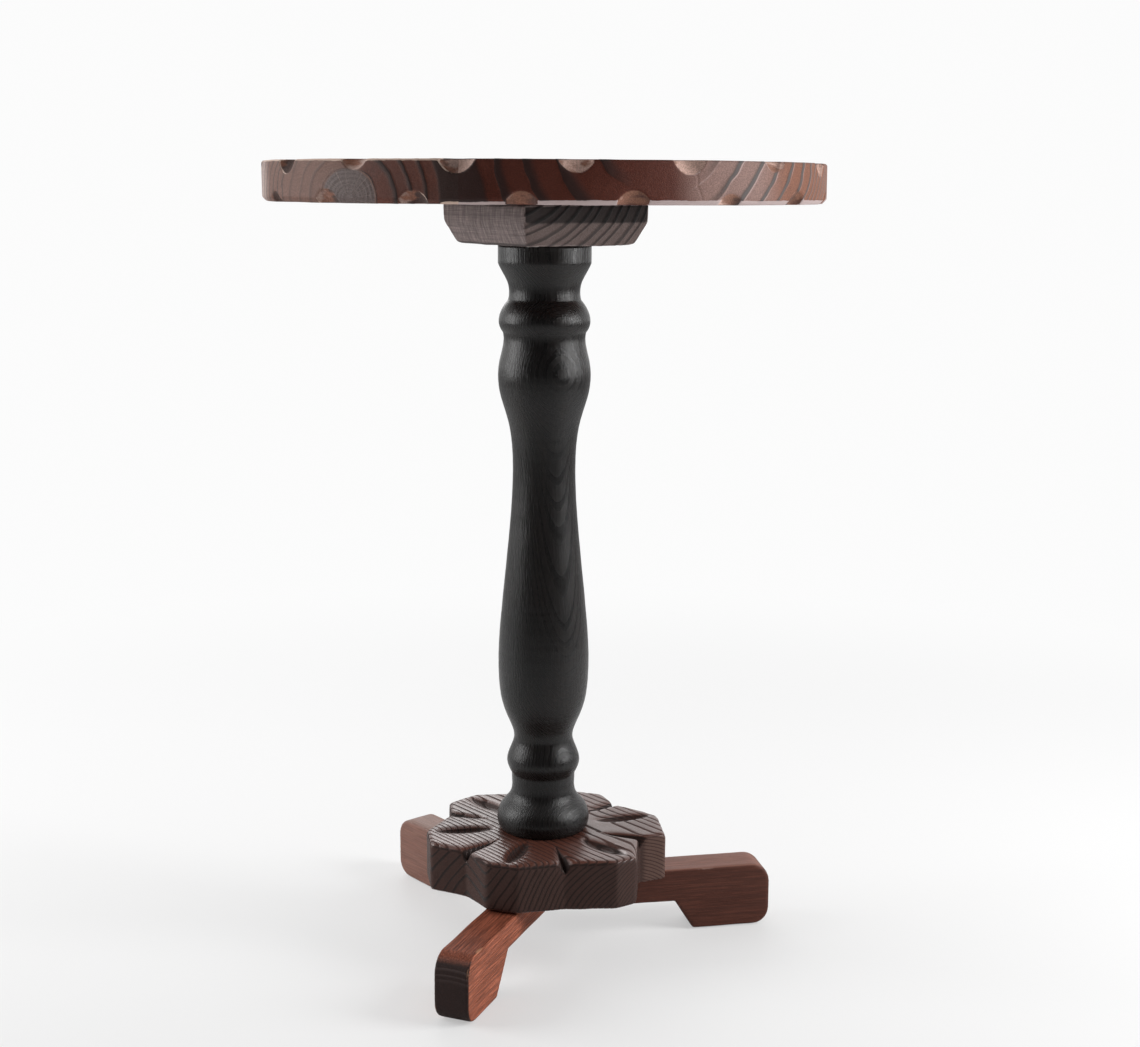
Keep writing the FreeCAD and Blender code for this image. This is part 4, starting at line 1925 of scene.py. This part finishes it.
@dataclass
class Studio:
    """Pale floor, white surroundings, soft lamps and the camera. Metres and degrees."""

    lamps: tuple[Softbox, ...] = (
        Softbox("back_softbox", 103.0, 21.0, 1.3, 0.4, 0.5, 1.4),
        Softbox("left_softbox", 180.0, 18.0, 1.5, 0.9, 1.1, 17.0),
        Softbox("right_softbox", 349.0, 20.0, 1.25, 0.52, 0.9, 15.0),
    )
    floor_half: float = 6.0
    floor_drop: float = 0.0003
    floor_colour: Colour = (0.86, 0.86, 0.86)
    floor_mirrored: Colour = (0.6, 0.6, 0.6)
    floor_rough: float = 0.55
    floor_fade: Span = (0.42, 1.1)
    floor_far: Span = (0.6, 1.3)
    floor_glow: float = 0.52
    glow_span: Span = (-0.5, 0.5)
    glow_front: float = 0.77
    glow_back: float = 0.97
    back_span: Span = (-0.2, 0.7)
    back_light: float = 0.97
    front_light: float = 0.06
    overhead_span: Span = (0.35, 1.0)
    overhead_light: float = 0.4
    camera_place: Place = (0.0146, -1.1677, 0.5205)
    camera_pitch: float = 10.907
    camera_yaw: float = 0.15
    camera_roll: float = 0.34
    focal_pixels: float = 1755.0
    sensor: float = 36.0

    def build(self) -> None:
        """Sets the stage, the light and the camera."""
        bpy.context.scene.view_settings.view_transform = "Standard"
        self.floor()
        self.surroundings()
        for lamp in self.lamps:
            lamp.build()
        self.camera()
        LOG.info("studio with %d lamps", len(self.lamps))

    def floor(self) -> None:
        """Pale floor that keeps shadows near the table, is plain white further off and clear from below."""
        half, low = self.floor_half, -self.floor_drop
        corners = np.array([(-half, -half, low), (half, -half, low), (half, half, low), (-half, half, low)])
        mesh = mesh_from("floor", corners, [(0, 1, 2, 3)])
        made, graph = new_material("pale_floor")
        places = graph.made("ShaderNodeTexCoord", {}, "Object")
        reach = graph.made("ShaderNodeVectorMath", {0: places}, "Value", operation="LENGTH")
        path = graph.node("ShaderNodeLightPath").outputs
        shade = graph.mix(path["Is Glossy Ray"], self.floor_colour, self.floor_mirrored)
        inputs = {"Base Color": shade, "Roughness": self.floor_rough}
        pale = graph.made("ShaderNodeBsdfPrincipled", inputs)
        behind = graph.ramp(graph.part(places, "Y"), *self.glow_span, self.glow_front, self.glow_back)
        distant = graph.ramp(reach, *self.floor_far, 0.0, self.glow_back)
        white = graph.made("ShaderNodeEmission", {"Strength": graph.sum("MAXIMUM", behind, distant)})
        far = graph.ramp(reach, *self.floor_fade, self.floor_glow, 1.0)
        seen = graph.blend(graph.times(far, path["Is Camera Ray"]), pale, white)
        back = graph.node("ShaderNodeNewGeometry").outputs["Backfacing"]
        graph.end(graph.blend(back, seen, graph.made("ShaderNodeBsdfTransparent", {})))
        mesh.materials.append(made)
        floor = show("floor", mesh)

    def surroundings(self) -> None:
        """White to the camera, white behind the table and dim in front of it."""
        world = bpy.data.worlds.new("white_studio")
        world.use_nodes = True
        bpy.context.scene.world = world
        graph = Graph(world.node_tree)
        places = graph.made("ShaderNodeTexCoord", {}, "Generated")
        level = graph.ramp(graph.part(places, "Y"), *self.back_span, self.front_light, self.back_light)
        overhead = graph.ramp(graph.part(places, "Z"), *self.overhead_span, 0.0, self.overhead_light)
        seen = graph.times(graph.made("ShaderNodeLightPath", {}, "Is Camera Ray"), self.glow_back)
        level = graph.sum("MAXIMUM", graph.sum("MAXIMUM", level, overhead), seen)
        sky = graph.made("ShaderNodeBackground", {"Strength": level, "Color": (1.0, 1.0, 1.0)})
        graph.end(sky, "ShaderNodeOutputWorld")

    def camera(self) -> None:
        """Camera at the viewing angle, with a plain lens."""
        data = bpy.data.cameras.new("camera")
        data.sensor_fit = "HORIZONTAL"
        data.sensor_width = self.sensor
        data.lens = self.sensor * self.focal_pixels / IMAGE_WIDTH
        camera = show("camera", data)
        camera.location = self.camera_place
        turn = math.radians(-self.camera_yaw)
        tilt = Euler((math.radians(90.0 - self.camera_pitch), 0.0, turn)).to_quaternion()
        roll = Euler((0.0, 0.0, math.radians(self.camera_roll))).to_quaternion()
        camera.rotation_mode = "QUATERNION"
        camera.rotation_quaternion = tilt @ roll
        bpy.context.scene.camera = camera


WIDE_PLANK = WoodFinish(
    name="oiled_wide_plank",
    early=(0.088, 0.02, 0.011),
    warm=(0.105, 0.027, 0.0165),
    late=(0.02, 0.0135, 0.013),
    # Pale arrises, and the painted light on the lower bevel, the upper left arris and the year starts.
    worn=(0.5, 0.4, 0.39),
    hollow=(0.285, 0.135, 0.088),
    end=(0.14, 0.04, 0.026),
    faint=(0.27, 0.163, 0.138),
    sap=(0.215, 0.088, 0.053),
    faint_late=(0.088, 0.075, 0.072),
    # Gouge colours: pale patches with painted light on walls that face up, dark streaks and stain with
    # painted shade on walls that face down.
    hollow_pale=(0.72, 0.48, 0.4),
    hollow_deep=(0.11, 0.056, 0.044),
    late_start=0.55,
    late_full=0.85,
    faint_line=0.95,
    end_share=0.1,
    worn_share=0.9,
    streak_share=0.3,
    rough_early=0.52,
    rough_late=0.45,
    shine=0.17,
)
NARROW_PLANK = WoodFinish(
    name="oiled_narrow_plank",
    early=(0.125, 0.04, 0.026),
    warm=(0.105, 0.04, 0.029),
    late=(0.022, 0.015, 0.014),
    # Pale arrises, and the painted light on the lower bevel and the upper left arris.
    worn=(0.6, 0.44, 0.36),
    hollow=(0.28, 0.12, 0.075),
    end=(0.12, 0.055, 0.042),
    faint=(0.172, 0.09, 0.068),
    sap=(0.42, 0.32, 0.29),
    core=(0.135, 0.1, 0.094),
    # Gouge colours: pale patches with painted light on walls that face up, dark streaks and stain with
    # painted shade on walls that face down.
    hollow_pale=(0.48, 0.33, 0.28),
    hollow_deep=(0.045, 0.024, 0.02),
    late_start=0.6,
    late_full=0.9,
    faint_line=0.4,
    end_share=0.1,
    worn_share=0.9,
    streak_share=0.3,
    rough_early=0.52,
    rough_late=0.45,
    shine=0.17,
)
BLOCK = WoodFinish(
    name="brushed_block",
    early=(0.215, 0.168, 0.16),
    warm=(0.25, 0.195, 0.183),
    late=(0.045, 0.034, 0.032),
    worn=(0.2, 0.15, 0.135),
    # Painted light from the floor on the lower sloping end faces.
    hollow=(0.152, 0.11, 0.1),
    # End grain that drinks stain, dark also as painted shade under the top.
    end=(0.0245, 0.0175, 0.0165),
    end_line=(0.006, 0.0045, 0.0045),
    late_start=0.55,
    late_full=0.8,
    late_share=0.85,
    faint_line=0.15,
    end_share=0.95,
    hollow_share=0.9,
    hollow_late=1.0,
    worn_share=0.35,
    streak_share=0.25,
    rough_early=0.65,
    rough_late=0.55,
    shine=0.22,
    fuzz=1.0,
    fuzz_share=0.35,
    bump=0.4,
)
COLUMN = WoodFinish(
    name="black_stain",
    early=(0.0082, 0.0073, 0.0072),
    warm=(0.0115, 0.0088, 0.008),
    late=(0.0062, 0.0058, 0.0058),
    worn=(0.015, 0.013, 0.0125),
    hollow=(0.01, 0.01, 0.01),
    end=(0.006, 0.006, 0.006),
    late_share=0.7,
    streak_share=0.3,
    fineness=1.0,
    rough_early=0.29,
    rough_late=0.2,
    shine=0.34,
    bump=0.31,
)
DISC = WoodFinish(
    name="brushed_disc",
    early=(0.034, 0.013, 0.0095),
    warm=(0.066, 0.02, 0.012),
    late=(0.117, 0.041, 0.027),
    worn=(0.26, 0.19, 0.17),
    # Painted shade in the carved grooves and hollows.
    hollow=(0.012, 0.0075, 0.0065),
    # Colour of all the disc's upright faces.
    end=(0.056, 0.0285, 0.023),
    end_line=(0.118, 0.068, 0.054),
    end_faint=(0.001, 0.0007, 0.0007),
    late_start=0.16,
    late_full=0.34,
    late_share=0.7,
    faint_line=1.0,
    end_share=0.88,
    rough_early=0.7,
    rough_late=0.36,
    shine=0.25,
    polish=0.66,
    polish_rough=0.2,
    polish_ior=1.7,
)
RIGHT_FOOT = WoodFinish(
    name="oiled_right_foot",
    early=(0.09, 0.028, 0.0175),
    warm=(0.11, 0.036, 0.023),
    late=(0.07, 0.024, 0.0165),
    worn=(0.34, 0.2, 0.16),
    # Upper faces: painted light from above.
    hollow=(0.27, 0.115, 0.081),
    end=(0.1, 0.04, 0.03),
    late_share=0.45,
    end_share=0.5,
    streak_share=0.3,
    shine=0.22,
)
REAR_FOOT = WoodFinish(
    name="oiled_rear_foot",
    early=(0.255, 0.128, 0.096),
    warm=(0.235, 0.11, 0.082),
    late=(0.21, 0.1, 0.078),
    worn=(0.36, 0.25, 0.22),
    # Upper faces: painted for how light falls on them from above.
    hollow=(0.25, 0.15, 0.12),
    end=(0.24, 0.115, 0.088),
    late_share=0.4,
    end_share=0.4,
    streak_share=0.25,
    shine=0.3,
)
FRONT_FOOT = WoodFinish(
    name="oiled_front_foot",
    early=(0.46, 0.145, 0.083),
    warm=(0.37, 0.115, 0.064),
    late=(0.17, 0.055, 0.034),
    worn=(0.42, 0.22, 0.13),
    # Upper faces: painted for how light falls on them from above.
    hollow=(0.19, 0.053, 0.029),
    end=(0.022, 0.015, 0.0145),
    end_line=(0.05, 0.036, 0.034),
    late_share=0.45,
    end_share=0.97,
    streak_share=0.6,
    shine=0.12,
    bump=0.4,
)
PEG = PlainFinish("beech_pegs", (0.52, 0.36, 0.22), (0.36, 0.22, 0.12), 300.0, 0.55, 0.0)
STEEL = PlainFinish("screw_steel", (0.5, 0.49, 0.47), (0.36, 0.35, 0.34), 900.0, 0.3, 1.0)


def main() -> None:
    """Builds the table from the top down, then the studio around it."""
    effects = Effects()
    PlankTop(WIDE_PLANK, NARROW_PLANK, PEG).build(effects)
    BeamBlock(BLOCK, STEEL).build(effects)
    TurnedColumn(COLUMN, PEG).build(effects)
    FootedBase(DISC, (RIGHT_FOOT, REAR_FOOT, FRONT_FOOT), STEEL).build(effects)
    Studio().build()


if __name__ == "__main__":
    main()
